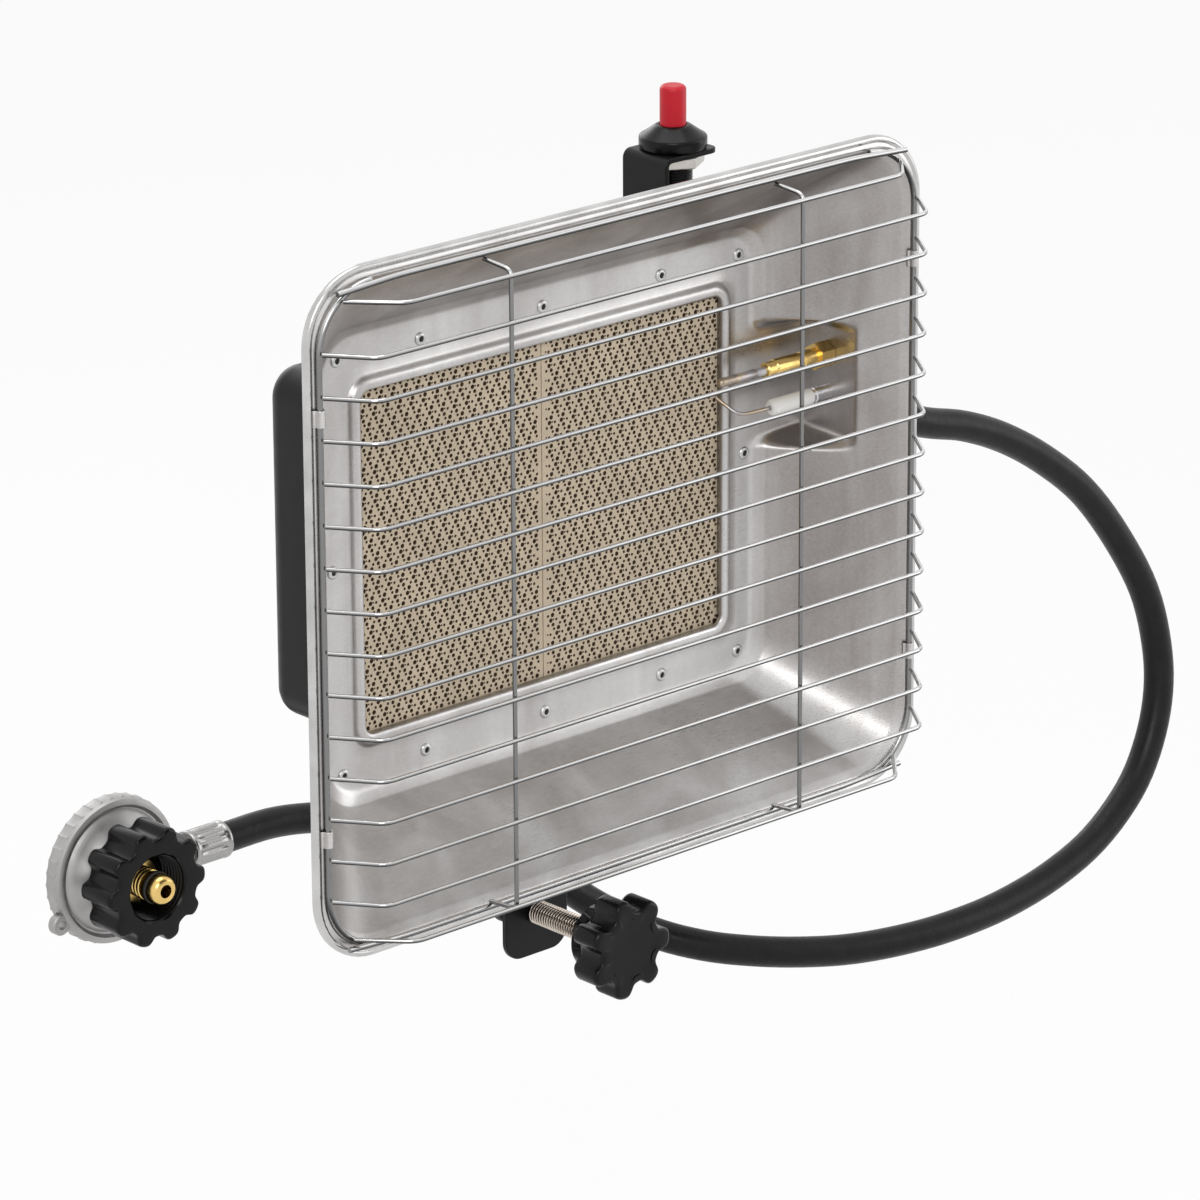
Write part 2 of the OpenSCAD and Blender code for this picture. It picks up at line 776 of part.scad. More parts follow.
module hose_inlet() {
    hex_end = valve_end_x + inlet_hex_t;
    color([0.8, 0.64, 0.3]) at_head() difference() {
        union() {
            hex_x(valve_end_x, hex_end, mixer_y, mixer_z, valve_nut_af);
            rod_x(hex_end - fuse, hose_start_x, mixer_y, mixer_z, hose_d);
        }
        rod_x(valve_end_x - cut, hose_start_x + cut, mixer_y, mixer_z, gas_way_d);
    }
}

// ---------------------------------------------------------------- flame sensor

module thermocouple_probe() {
    color([0.66, 0.65, 0.62]) at_head() {
        rod_x(probe_tip_x, sleeve_front_x, probe_y, probe_z, probe_d);
        translate([probe_tip_x, probe_y, probe_z]) sphere(d = probe_d);
    }
}

module thermocouple_sleeve() {
    hex_x0 = pocket_x - sleeve_hex_len;
    color([0.83, 0.66, 0.25]) at_head() {
        rod_x(sleeve_front_x, probe_back_x, probe_y, probe_z, sleeve_d);
        hex_x(hex_x0, pocket_x, probe_y, probe_z, sleeve_hex_af);
    }
}

module thermocouple_locknut() {
    x0 = pocket_x + sheet_t;
    nut_t = 4;
    color([0.83, 0.66, 0.25]) at_head() difference() {
        hex_x(x0, x0 + nut_t, probe_y, probe_z, sleeve_hex_af + 1);
        rod_x(x0 - cut, x0 + nut_t + cut, probe_y, probe_z, sleeve_d);
    }
}

module thermocouple_lead() {
    color([0.72, 0.42, 0.26]) at_head()
        tube(bent([[probe_back_x, probe_y, probe_z],
                   [probe_back_x + 18, probe_y, probe_z],
                   [valve_end_x - 1, probe_y + 20, boss_top_z + 6],
                   [valve_end_x - 1, mixer_y - 18, boss_low_z],
                   [valve_end_x - 3, mixer_y - 10, boss_low_z - 24],
                   [valve_mid_x, mixer_y, boss_low_z - 28],
                   [valve_mid_x, mixer_y, boss_low_z]], 5), sensor_lead_d, 8);
}

module electrode_wire() {
    past_ceramic = 6;
    reach = 58;
    lean = 1.5;
    tip = [-5, 12, 7.5];
    bend_at = [pocket_x - reach, probe_y + lean, electrode_z];
    tip_at = [pocket_x - reach, probe_y, electrode_z] + tip;
    color([0.6, 0.56, 0.5]) at_head()
        tube(bent([[spark_x, probe_y, electrode_z],
                   [ceramic_front_x - past_ceramic, probe_y, electrode_z],
                   bend_at, tip_at], 5), electrode_d, 8);
}

module electrode_ceramic() {
    color([0.94, 0.93, 0.9]) at_head() difference() {
        rod_x(ceramic_front_x, ceramic_back_x, probe_y, electrode_z, ceramic_d);
        rod_x(ceramic_front_x - cut, ceramic_back_x + cut, probe_y, electrode_z, ceramic_bore);
    }
}

module electrode_clip() {
    x0 = pocket_x + sheet_t;
    half = 9;
    collar_len = 5;
    collar_wall = 1.5;
    color([0.7, 0.71, 0.72]) at_head() difference() {
        union() {
            translate([x0, probe_y - half, electrode_z - half])
                cube([sheet_t, 2 * half, 2 * half]);
            rod_x(x0, x0 + collar_len, probe_y, electrode_z, ceramic_d + 2 * collar_wall);
        }
        rod_x(x0 - cut, x0 + collar_len + cut, probe_y, electrode_z, ceramic_d + seat_gap);
    }
}

module ignition_lead() {
    lead_z = igniter_low_z - 13;
    color([0.12, 0.12, 0.13]) at_head()
        tube(bent([[spark_x, probe_y, electrode_z],
                   [spark_x + 6, probe_y, electrode_z],
                   [spark_x, probe_y + 26, probe_z + 14],
                   [box_w / 2 + 20, igniter_y, lead_z - 3],
                   [igniter_x + 12, igniter_y, lead_z],
                   [igniter_x, igniter_y, lead_z],
                   [igniter_x, igniter_y, igniter_low_z]], 6), spark_lead_d, 8);
}

// ---------------------------------------------------------------- igniter

module igniter_bracket() {
    color([0.08, 0.08, 0.09]) at_head() difference() {
        union() {
            translate([bracket_x, bracket_y, bracket_foot_z])
                cube([bracket_t, bracket_d, bracket_top_z - bracket_foot_z]);
            translate([bracket_x, bracket_y, flange_low_z])
                cube([bracket_reach, bracket_d, bracket_t]);
            translate([bracket_x + bracket_t - bracket_foot_w, bracket_y, bracket_foot_z])
                cube([bracket_foot_w, bracket_t, bracket_foot_h]);
        }
        rod_z(flange_low_z - cut, bracket_top_z + cut, igniter_x, igniter_y,
              igniter_d + 2 * seat_gap);
        rod_y(bracket_y - cut, bracket_y + bracket_t + cut, rivet_near_x, rivet_z, rivet_d);
    }
}

module igniter_body() {
    color([0.1, 0.1, 0.11]) at_head() difference() {
        rod_z(igniter_low_z, bracket_top_z + 2, igniter_x, igniter_y, igniter_d);
        rod_z(igniter_floor_z, bracket_top_z + 2 + cut, igniter_x, igniter_y,
              button_d + 4 * seat_gap);
    }
}

module igniter_bezel() {
    band_h = bezel_h * 0.46;
    dome_h = bezel_h - band_h;
    recess_h = 2.4;
    color([0.09, 0.09, 0.1]) at_head() translate([igniter_x, igniter_y, bracket_top_z])
        difference() {
            union() {
                cylinder(d = bezel_d, h = band_h);
                translate([0, 0, band_h])
                    cylinder(d1 = bezel_d, d2 = button_d + 6, h = dome_h);
            }
            translate([0, 0, -cut]) cylinder(d = igniter_d + 2 * seat_gap, h = recess_h + cut);
            translate([0, 0, -cut]) cylinder(d = button_d + 2 * run_gap, h = bezel_h + 2 * cut);
        }
}

module igniter_nut() {
    color([0.75, 0.74, 0.7]) at_head()
        translate([igniter_x, igniter_y, flange_low_z - igniter_nut_h]) rotate([0, 0, 30])
        difference() {
            hexagon(igniter_nut_af, igniter_nut_h);
            translate([0, 0, -cut]) cylinder(d = igniter_d, h = igniter_nut_h + 2 * cut);
        }
}

module igniter_button() {
    color([0.85, 0.08, 0.14]) at_head()
        rod_z(button_low_z, button_top_z, igniter_x, igniter_y, button_d);
}

module igniter_spring() {
    color([0.7, 0.71, 0.73]) at_head()
        coil(igniter_x, igniter_y, igniter_floor_z, button_low_z, button_d - 3, 1, 5);
}

// ---------------------------------------------------------------- clamp

module arm_screw_holes(y0, y1) {
    for (k = [0, 1])
        rod_y(y0, y1, 0, arm_screw_z - k * arm_screw_gap, arm_screw_d);
}

module support_arm() {
    foot_z = saddle_t - head_z;
    top_z = arm_over_box - box_h / 2;
    foot_len = 32;
    color([0.08, 0.08, 0.09]) at_head() difference() {
        union() {
            translate([-saddle_w / 2, box_back, foot_z])
                cube([saddle_w, saddle_t, top_z - foot_z]);
            translate([-saddle_w / 2, box_back + saddle_t - foot_len, foot_z])
                cube([saddle_w, foot_len, saddle_t]);
        }
        arm_screw_holes(box_back - cut, box_back + saddle_t + cut);
    }
}

module arm_screws() {
    back = box_back + saddle_t;
    head_t = 3.2;
    screw_past = 6;
    color([0.7, 0.71, 0.73]) at_head() {
        arm_screw_holes(box_back - box_t - screw_past, back + fuse);
        for (k = [0, 1])
            rod_y(back, back + head_t, 0, arm_screw_z - k * arm_screw_gap,
                  2 * arm_screw_d);
    }
}

module arm_nuts() {
    front = box_back - box_t;
    nut_t = 4;
    nut_af = 8;
    color([0.7, 0.71, 0.73]) at_head() difference() {
        for (k = [0, 1])
            hex_y(front - nut_t, front, 0, arm_screw_z - k * arm_screw_gap, nut_af);
        arm_screw_holes(front - nut_t - cut, front + cut);
    }
}

// One leg of the saddle, hanging from the web, with rounded lower corners
module saddle_leg(y0, h) {
    translate([0, y0, 0]) rotate([-90, 0, 0]) linear_extrude(saddle_t) {
        translate([-saddle_w / 2, -saddle_t]) square([saddle_w, h + saddle_t - leg_corner_r]);
        translate([leg_corner_r - saddle_w / 2, -saddle_t])
            square([saddle_w - 2 * leg_corner_r, h + saddle_t]);
        for (sx = [-1, 1])
            translate([sx * (saddle_w / 2 - leg_corner_r), h - leg_corner_r])
                circle(r = leg_corner_r);
    }
}

module clamp_saddle() {
    color([0.08, 0.08, 0.09]) difference() {
        union() {
            saddle_leg(plate_front_y, leg_out_h);
            saddle_leg(inner_leg_y, leg_in_h);
            translate([-saddle_w / 2, plate_front_y, 0])
                cube([saddle_w, slot_w + 2 * saddle_t, saddle_t]);
        }
        rod_y(plate_front_y - cut, outer_leg_y + cut, 0, screw_z, screw_d + 2 * run_gap);
    }
}

module weld_nut() {
    color([0.6, 0.6, 0.58]) difference() {
        hex_y(outer_leg_y, outer_leg_y + weld_nut_t, 0, screw_z, weld_nut_af);
        rod_y(outer_leg_y - cut, outer_leg_y + weld_nut_t + cut, 0, screw_z,
              screw_d + 2 * run_gap);
    }
}

module clamp_pad() {
    color([0.1, 0.1, 0.1]) difference() {
        rod_y(pad_face_y - pad_t, pad_face_y, 0, screw_z, pad_d);
        rod_y(pad_face_y - pad_t - cut, pad_face_y - pad_floor, 0, screw_z, screw_tip_d + 2 * run_gap);
    }
}

module clamp_screw() {
    color([0.7, 0.68, 0.64]) {
        rod_y(star_back_y, pad_face_y - pad_t - run_gap, 0, screw_z, screw_d);
        rod_y(pad_face_y - pad_t - fuse, pad_face_y - pad_floor - run_gap, 0, screw_z, screw_tip_d);
    }
}

// A wavy outline: its tips lie on diameter d, its hollows are deep below them
module star(d, lobes, deep) {
    steps = lobes * 12;
    polygon([for (k = [0 : steps - 1])
        let (a = 360 * k / steps, wave = cos(lobes * a),
             flat = wave * sqrt((1 + lobe_sharpness) / (lobe_sharpness + wave * wave)),
             r = d / 2 - deep / 2 + deep / 2 * flat)
        [r * cos(a), r * sin(a)]]);
}

module clamp_knob() {
    color([0.09, 0.09, 0.1]) difference() {
        union() {
            translate([0, star_back_y, screw_z]) rotate([90, 0, 0])
                linear_extrude(knob_t) star(knob_d, knob_lobes, knob_flute);
            rod_y(star_back_y - fuse, hub_back_y, 0, screw_z, hub_d);
        }
        rod_y(star_back_y, hub_back_y + cut, 0, screw_z, screw_d);
    }
}

// ---------------------------------------------------------------- hose

module hose() {
    color([0.08, 0.08, 0.08]) tube(hose_route, hose_d, 12);
}

module ferrule(at) {
    flutes = 10;
    flute_d = 2.4;
    rim = 4;
    translate(at) rotate([0, 90, 0]) difference() {
        cylinder(d = ferrule_d, h = ferrule_len);
        translate([0, 0, -cut]) cylinder(d = hose_d + seat_gap, h = ferrule_len + 2 * cut);
        for (k = [0 : flutes - 1]) rotate([0, 0, 360 * k / flutes])
            translate([(ferrule_d + flute_d / 3) / 2, 0, rim])
                cylinder(d = flute_d, h = ferrule_len - 2 * rim);
    }
}

module inlet_ferrule() {
    color([0.75, 0.75, 0.76]) ferrule(hose_begin - [ferrule_on_stub, 0, 0]);
}

module regulator_ferrule() {
    color([0.75, 0.75, 0.76]) ferrule(hose_finish - [ferrule_on_stub, 0, 0]);
}

// ---------------------------------------------------------------- regulator

module at_regulator() {
    translate(reg_at) rotate([90, 0, 0]) children();
}

module regulator_body() {
    hub_low_d = reg_d - 18;
    hub_top_d = nipple_d + 24;
    outlet_d = reg_hub_t + reg_rim_t;
    outlet_start = outlet_x - 3;
    lug_angle = 209;
    lug_d = 11;
    lug_hole_d = 4.5;
    color([0.72, 0.73, 0.74]) at_regulator() difference() {
        union() {
            translate([0, 0, -reg_rim_t / 2]) cylinder(d = reg_d, h = reg_rim_t);
            hull() {
                translate([0, 0, reg_rim_t / 2 - fuse])
                    cylinder(d1 = hub_low_d, d2 = hub_top_d, h = reg_hub_t + fuse);
                translate([outlet_start, 0, -outlet_y]) rotate([0, 90, 0])
                    cylinder(d = outlet_d, h = cut);
            }
            translate([outlet_start, 0, -outlet_y]) rotate([0, 90, 0])
                cylinder(d = hose_d, h = outlet_x + hose_stub - outlet_start);
            rotate([0, 0, lug_angle]) translate([reg_d / 2 + lug_d / 4, 0, -reg_rim_t / 2])
                cylinder(d = lug_d, h = reg_rim_t);
        }
        rotate([0, 0, lug_angle]) translate([reg_d / 2 + lug_d / 3, 0, -reg_rim_t / 2 - cut])
            cylinder(d = lug_hole_d, h = reg_rim_t + 2 * cut);
        translate([0, 0, -reg_rim_t / 2 - cut]) cylinder(d = reg_d - 26, h = 2 + cut);
        cylinder(d = nipple_bore, h = reg_hub_t + reg_rim_t);
    }
}

module regulator_cover() {
    low = -reg_rim_t / 2;
    wall = 2;
    lip_d = reg_d + 1.6;
    lip_t = 4;
    notch_d = 2.4;
    dome_d = reg_d - 34;
    color([0.78, 0.79, 0.8]) at_regulator() difference() {
        union() {
            translate([0, 0, low - lip_t]) cylinder(d = lip_d, h = lip_t);
            translate([0, 0, low - cover_t])
                cylinder(d1 = dome_d, d2 = reg_seat_d, h = cover_t - lip_t + fuse);
        }
        translate([0, 0, low - cover_t + wall])
            cylinder(d = dome_d - wall, h = cover_t);
        translate([0, 0, low - diaphragm_t]) cylinder(d = reg_seat_d, h = cover_t);
        for (k = [0 : 35]) rotate([0, 0, 10 * k])
            translate([(lip_d + notch_d / 2) / 2, 0, low - cover_t])
                cylinder(d = notch_d, h = 2 * cover_t);
    }
}

module regulator_diaphragm() {
    color([0.15, 0.15, 0.15]) at_regulator()
        translate([0, 0, -reg_rim_t / 2 - diaphragm_t])
            cylinder(d = reg_seat_d - 2 * seat_gap, h = diaphragm_t);
}

module regulator_spring() {
    z0 = -reg_rim_t / 2 - cover_t + 2;
    color([0.7, 0.71, 0.73]) at_regulator()
        coil(0, 0, z0, -reg_rim_t / 2 - diaphragm_t, 22, 1.6, 3);
}

module inlet_nipple() {
    low = reg_rim_t / 2 + reg_hub_t;
    shoulder_d = nipple_d + 8;
    shoulder_at = nut_low + nut_web_t + 0.3;
    color([0.83, 0.66, 0.3]) at_regulator() difference() {
        union() {
            translate([0, 0, low]) cylinder(d = nipple_d, h = nipple_end - nose_len - low);
            translate([0, 0, nipple_end - nose_len])
                cylinder(d1 = nipple_d, d2 = nipple_d - nose_len, h = nose_len);
            translate([0, 0, shoulder_at]) cylinder(d = shoulder_d, h = nipple_shoulder_t);
        }
        translate([0, 0, low - cut]) cylinder(d = nipple_bore, h = nipple_end);
        translate([0, 0, seal_at]) seal_groove();
    }
}

module seal_groove() {
    difference() {
        cylinder(d = nipple_d + 2, h = seal_d + seat_gap);
        translate([0, 0, -cut]) cylinder(d = nipple_d - 4, h = seal_d + seat_gap + 2 * cut);
    }
}

module nipple_seal() {
    color([0.1, 0.1, 0.1]) at_regulator() translate([0, 0, seal_at + (seal_d + seat_gap) / 2])
        rotate_extrude() translate([(nipple_d - 4 + seal_d) / 2 + run_gap, 0]) circle(d = seal_d);
}

module hand_nut() {
    color([0.09, 0.09, 0.1]) at_regulator() difference() {
        translate([0, 0, nut_low]) linear_extrude(nut_len) star(nut_d, nut_lobes, nut_flute);
        translate([0, 0, nut_low - cut])
            cylinder(d = nipple_d + 2 * run_gap, h = nut_len + 2 * cut);
        translate([0, 0, nut_low + nut_web_t]) cylinder(d = nut_thread_d, h = nut_len);
    }
}

reflector();
frame_rivets();
tile_left();
tile_right();
tile_gasket();
tile_retainer();
burner_box();
guard_bars();
guard_uprights();
guard_side_wires();
guard_cross_wires();
mixer_tube();
mixer_bracket();
gas_jet();
valve_body();
valve_locknut();
valve_push();
valve_spring();
hose_inlet();
thermocouple_probe();
thermocouple_sleeve();
thermocouple_locknut();
thermocouple_lead();
electrode_wire();
electrode_ceramic();
electrode_clip();
ignition_lead();
igniter_bracket();
igniter_body();
igniter_bezel();
igniter_nut();
igniter_button();
igniter_spring();
support_arm();
arm_screws();
arm_nuts();
clamp_saddle();
weld_nut();
clamp_pad();
clamp_screw();
clamp_knob();
hose();
inlet_ferrule();
regulator_ferrule();
regulator_body();
regulator_cover();
regulator_diaphragm();
regulator_spring();
inlet_nipple();
nipple_seal();
hand_nut();
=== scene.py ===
# Portable propane heater: the visual model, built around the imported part.
# Lengths in the code are millimetres. "head" points count from the burner's
# middle and the rim's front plane; "part" points from the clamp saddle.

import math

import bmesh
import bpy
from mathutils import Matrix, Vector


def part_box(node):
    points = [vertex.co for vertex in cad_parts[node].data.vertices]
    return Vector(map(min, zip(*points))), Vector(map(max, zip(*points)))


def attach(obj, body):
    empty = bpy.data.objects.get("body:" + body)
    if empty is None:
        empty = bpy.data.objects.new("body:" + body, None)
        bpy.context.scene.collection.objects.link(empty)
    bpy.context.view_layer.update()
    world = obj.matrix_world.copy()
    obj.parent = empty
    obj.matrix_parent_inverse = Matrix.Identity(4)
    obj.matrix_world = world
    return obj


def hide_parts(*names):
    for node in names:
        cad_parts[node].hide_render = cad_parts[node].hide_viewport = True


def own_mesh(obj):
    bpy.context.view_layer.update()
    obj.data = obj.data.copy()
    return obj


bl_info = {
    "name": "Portable propane heater",
    "version": (1, 0, 0),
    "blender": (4, 5, 0),
    "location": "View3D > Sidebar > Heater",
    "description": "Builds a radiant propane heater, its hose and its regulator",
    "category": "Add Mesh",
}

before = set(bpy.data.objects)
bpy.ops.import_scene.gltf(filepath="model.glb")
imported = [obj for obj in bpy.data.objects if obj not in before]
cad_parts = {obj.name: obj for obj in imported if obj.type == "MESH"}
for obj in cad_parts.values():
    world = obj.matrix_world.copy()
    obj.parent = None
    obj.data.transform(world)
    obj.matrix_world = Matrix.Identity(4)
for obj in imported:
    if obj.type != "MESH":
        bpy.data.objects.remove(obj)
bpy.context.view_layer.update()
MM = 0.001
MERGE = 0.00001
TILE_LOW, TILE_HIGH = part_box("tile_left")
SHEET_BACK, FLANGE_BACK = 59.2, 60.4
RIGHTWARD, REARWARD, UPWARD = (1, 0, 0), (0, 1, 0), (0, 0, 1)
HEAD = Vector((0, TILE_LOW[1] / MM - SHEET_BACK, (TILE_LOW[2] + TILE_HIGH[2]) / 2 / MM))


# ---------------- sizes

def length(name, description, value):
    return bpy.props.FloatProperty(name=name, description=description,
                                   default=value * MM, unit="LENGTH")


def paint(name, description, value):
    return bpy.props.FloatVectorProperty(name=name, description=description, size=3,
                                         subtype="COLOR", min=0, max=1, default=value)


class HeaterSizes(bpy.types.PropertyGroup):
    rim_w: length("Rim width", "Width of the reflector's rim", 386)
    rim_h: length("Rim height", "Height of the reflector's rim", 330)
    rim_r: length("Rim corner", "Corner radius of the rim", 34)
    dish_depth: length("Dish depth", "Depth of the dish down to its back plate", 58)
    sheet: length("Sheet", "Thickness of the stamped sheet", 1.2)
    bar: length("Bar", "Diameter of the guard's front bars", 2.2)
    wire: length("Frame wire", "Diameter of the guard's frame wires", 2.8)
    hole_big: length("Large flame hole", "Diameter of the large flame holes", 2.3)
    hole_small: length("Small flame hole", "Diameter of the small flame holes", 1.5)
    hole_pitch: length("Hole pattern", "Width of one repeat of the flame holes", 7.6)
    hose: length("Hose", "Outer diameter of the hose", 16)
    button: length("Button", "Diameter of the ignition button", 12.8)
    knob: length("Knob", "Diameter of the star knob", 51)
    nut: length("Hand nut", "Outer diameter of the regulator's hand nut", 62)


class HeaterColours(bpy.types.PropertyGroup):
    sheet: paint("Reflector", "Bright rolled aluminium", (0.50, 0.495, 0.49))
    chrome: paint("Chrome", "Polished guard wire", (0.46, 0.46, 0.46))
    tile: paint("Tile", "Unfired face of the ceramic tiles", (0.60, 0.50, 0.37))
    enamel: paint("Enamel", "Satin black enamel", (0.006, 0.006, 0.0065))
    plastic: paint("Plastic", "Black moulded plastic", (0.004, 0.004, 0.0042))
    button: paint("Button", "Red button", (0.58, 0.008, 0.022))
    rubber: paint("Rubber", "Hose cover", (0.006, 0.006, 0.006))
    brass: paint("Brass", "Turned brass", (0.80, 0.56, 0.20))
    casting: paint("Casting", "Zinc die casting", (0.43, 0.42, 0.415))


def size(name):
    return getattr(bpy.context.scene.heater_sizes, name) / MM


def colour(name):
    return tuple(getattr(bpy.context.scene.heater_colours, name))


# ---------------- finishes

def add_node(tree, kind, settings, values):
    """Adds a node, sets it up, and fills or links its inputs."""
    made = tree.nodes.new(kind)
    for key, value in settings.items():
        if key == "stops":
            ramp = made.color_ramp.elements
            while len(ramp) < len(value):
                ramp.new(0.5)
            for stop, (where, tone) in zip(ramp, value):
                stop.position = where
                stop.color = (*tone, 1)
        else:
            setattr(made, key, value)
    for key, value in values.items():
        for each in value if isinstance(value, list) else [value]:
            source = getattr(each, "socket", each)
            if isinstance(source, bpy.types.NodeSocket):
                tree.links.new(source, made.inputs[key])
            else:
                made.inputs[key].default_value = each
    return made


class Signal:
    """A socket that can be used in sums."""

    def __init__(self, finish, socket):
        self.finish = finish
        self.socket = socket

    def sum_with(self, operation, *values):
        return self.finish.node("ShaderNodeMath", {"operation": operation},
                                dict(enumerate(values)))

    def __add__(self, other):
        return self.sum_with("ADD", self, other)

    def __sub__(self, other):
        return self.sum_with("SUBTRACT", self, other)

    def __mul__(self, other):
        return self.sum_with("MULTIPLY", self, other)

    def clipped(self, low, high):
        return self.finish.node("ShaderNodeMapRange", {},
                                {0: self, 1: low, 2: high, 3: 0.0, 4: 1.0})


class Finish:
    """A material with one Principled shader, and a method that adds any other node."""

    def __init__(self, name, base, metallic=0.0, roughness=0.5, **constants):
        self.material = bpy.data.materials.new(name)
        self.material.use_nodes = True
        self.tree = self.material.node_tree
        self.shader = self.tree.nodes["Principled BSDF"]
        self.base = tuple(base)
        self.material.diffuse_color = (*base, 1)
        self.set("Base Color", (*base, 1))
        self.set("Metallic", metallic)
        self.set("Roughness", roughness)
        for socket, value in constants.items():
            self.set(socket.replace("_", " "), value)
        self.place = self.node("ShaderNodeTexCoord", {}, {}, "Object")

    def set(self, socket, value):
        target = self.shader.inputs[socket]
        if isinstance(value, Signal):
            self.tree.links.new(value.socket, target)
        else:
            target.default_value = value

    def node(self, kind, settings, values, out=0):
        return Signal(self, add_node(self.tree, kind, settings, values).outputs[out])

    def facing(self, axis):
        """How far a face looks along an axis of the room, from -1 to 1."""
        normal = self.node("ShaderNodeNewGeometry", {}, {}, "Normal")
        return self.node("ShaderNodeSeparateXYZ", {}, {"Vector": normal}, axis)

    def stretched(self, scale):
        return self.node("ShaderNodeMapping", {}, {"Vector": self.place, "Scale": scale})

    def noise(self, scale, detail=3.0, rough=0.5, place=None, warp=0.0):
        return self.node("ShaderNodeTexNoise", {},
                         {"Vector": place or self.place, "Scale": scale, "Detail": detail,
                          "Roughness": rough, "Distortion": warp})

    def shade(self, factor, dark, light):
        return self.node("ShaderNodeMix", {"data_type": "RGBA"},
                         {0: factor, 6: (*dark, 1), 7: (*light, 1)}, 2)

    def bump(self, height, distance, strength):
        self.set("Normal", self.node("ShaderNodeBump", {},
                                     {"Height": height, "Distance": distance,
                                      "Strength": strength}))
        return self

    def varied(self, scale, colour_swing, rough_low, rough_high):
        """Soft clouds in the colour and the gloss."""
        cloud = self.noise(scale, 4.0).clipped(0.3, 0.7)
        dark = [max(0.0, c * (1 - colour_swing)) for c in self.base]
        light = [min(1.0, c * (1 + colour_swing)) for c in self.base]
        self.set("Base Color", self.shade(cloud, dark, light))
        fine = self.noise(scale * 3.1, 4.0).clipped(0.25, 0.75)
        self.set("Roughness", fine * (rough_high - rough_low) + rough_low)
        return self


def bright_sheet():
    """Rolled sheet with painted light: flats and the sky side are painted lighter and the
    undersides darker by the way each face looks, with soft bands.
    """
    made = Finish("Bright rolled sheet", colour("sheet"), 1.0, 0.3)
    bands = made.noise(1.0, 3.0, 0.55, made.stretched((26.0, 34.0, 4.0)), 0.7).clipped(0.3, 0.7)
    smear = made.noise(9.0, 4.0, 0.6, None, 0.9).clipped(0.32, 0.7)
    rolled = made.noise(1.0, 3.0, 0.65, made.stretched((150.0, 900.0, 2400.0))).clipped(0.3, 0.7)
    fleck = made.noise(560.0, 3.0, 0.7).clipped(0.35, 0.75)
    # Painted light: faces that look straight forward or back, the back plate and the flats, are
    # painted lighter.
    flat = made.facing("Y")
    flat = flat.sum_with("ABSOLUTE", flat).clipped(0.6, 0.97)
    # Painted light: faces turned up are painted lighter, as if lit from above.
    upper = made.facing("Z").clipped(0.0, 0.6)
    # The tone mixes this painted light by facing with random bands, smear, rolling marks and
    # flecks.
    tone = flat * 0.40 + upper * 0.28 + bands * 0.34 + smear * 0.24 + rolled * 0.12
    tone = tone + fleck * 0.08 - 0.12
    base = made.base
    warm, cool = (0.40, 0.355, 0.34), [min(1, c * 1.5) for c in base]
    made.set("Base Color", made.shade(tone, [c * 0.62 for c in warm], cool))
    made.set("Roughness", smear * -0.1 + rolled * 0.08 + 0.33)
    return made.bump(rolled * 0.6 + fleck * 0.4, 0.00003, 0.55).material


def grained(name, base, metallic, clouds, grain, depth, strength=0.5, **constants):
    """Clouds (scale, colour swing, least and most roughness) under a fine grain."""
    made = Finish(name, base, metallic, clouds[2], **constants).varied(*clouds)
    return made.bump(made.noise(*grain), depth, strength).material


def metal(name, base, low, high, scale=60.0, swing=0.08, grain=1500.0, depth=0.00003):
    return grained(name, base, 1.0, (scale, swing, low, high), (grain, 3.0, 0.6), depth)


def plain(name, base, low, high, scale=80.0, swing=0.06, grain=900.0, depth=0.00005):
    return grained(name, base, 0.0, (scale, swing, low, high), (grain, 3.0, 0.6), depth)


def chrome_with_painted_light():
    """Chrome with painted light: a round wire is painted bright above as a painted highlight and
    has a painted dark line of shade below.
    """
    made = Finish("Polished chrome wire", colour("chrome"), 1.0, 0.12)
    base = made.base
    # Painted light by facing: from painted shade on faces turned down to a painted highlight on
    # faces turned up.
    stops = [(where, [min(1, c * share) for c in base])
             for where, share in ((0.0, 0.05), (0.36, 0.12), (0.5, 0.5), (0.68, 0.95),
                                  (0.92, 1.6))]
    tone = made.node("ShaderNodeValToRGB", {"stops": stops}, {0: made.facing("Z") * 0.5 + 0.5})
    made.set("Base Color", tone)
    made.set("Roughness", made.noise(160.0, 3.0).clipped(0.3, 0.7) * 0.1 + 0.08)
    return made.bump(made.noise(900.0, 2.0, 0.6), 0.00002, 0.3).material


def fired_tile():
    made = Finish("Perforated ceramic", colour("tile"), 0.0, 0.85)
    cloud = made.noise(38.0, 4.0).clipped(0.3, 0.7)
    speck = made.noise(900.0, 3.0, 0.7).clipped(0.35, 0.7)
    base = made.base
    made.set("Base Color", made.shade(cloud * 0.6 + speck * 0.4,
                                      [c * 0.86 for c in base],
                                      [min(1, c * 1.14) for c in base]))
    made.set("Roughness", speck * 0.12 + 0.8)
    return made.bump(speck, 0.00008, 0.6).material


def hose_rubber():
    made = Finish("Extruded rubber", colour("rubber"), 0.0, 0.42, Specular_IOR_Level=0.22)
    ply = made.node("ShaderNodeUVMap", {}, {})
    weave = made.node("ShaderNodeTexVoronoi", {"feature": "F1"},
                      {"Vector": ply, "Scale": 1.0}, 0).clipped(0.1, 0.75)
    made.varied(130.0, 0.35, 0.3, 0.44)
    pits = made.noise(1400.0, 3.0, 0.7)
    return made.bump(weave * 0.7 + pits * 0.3, 0.00012, 0.5).material


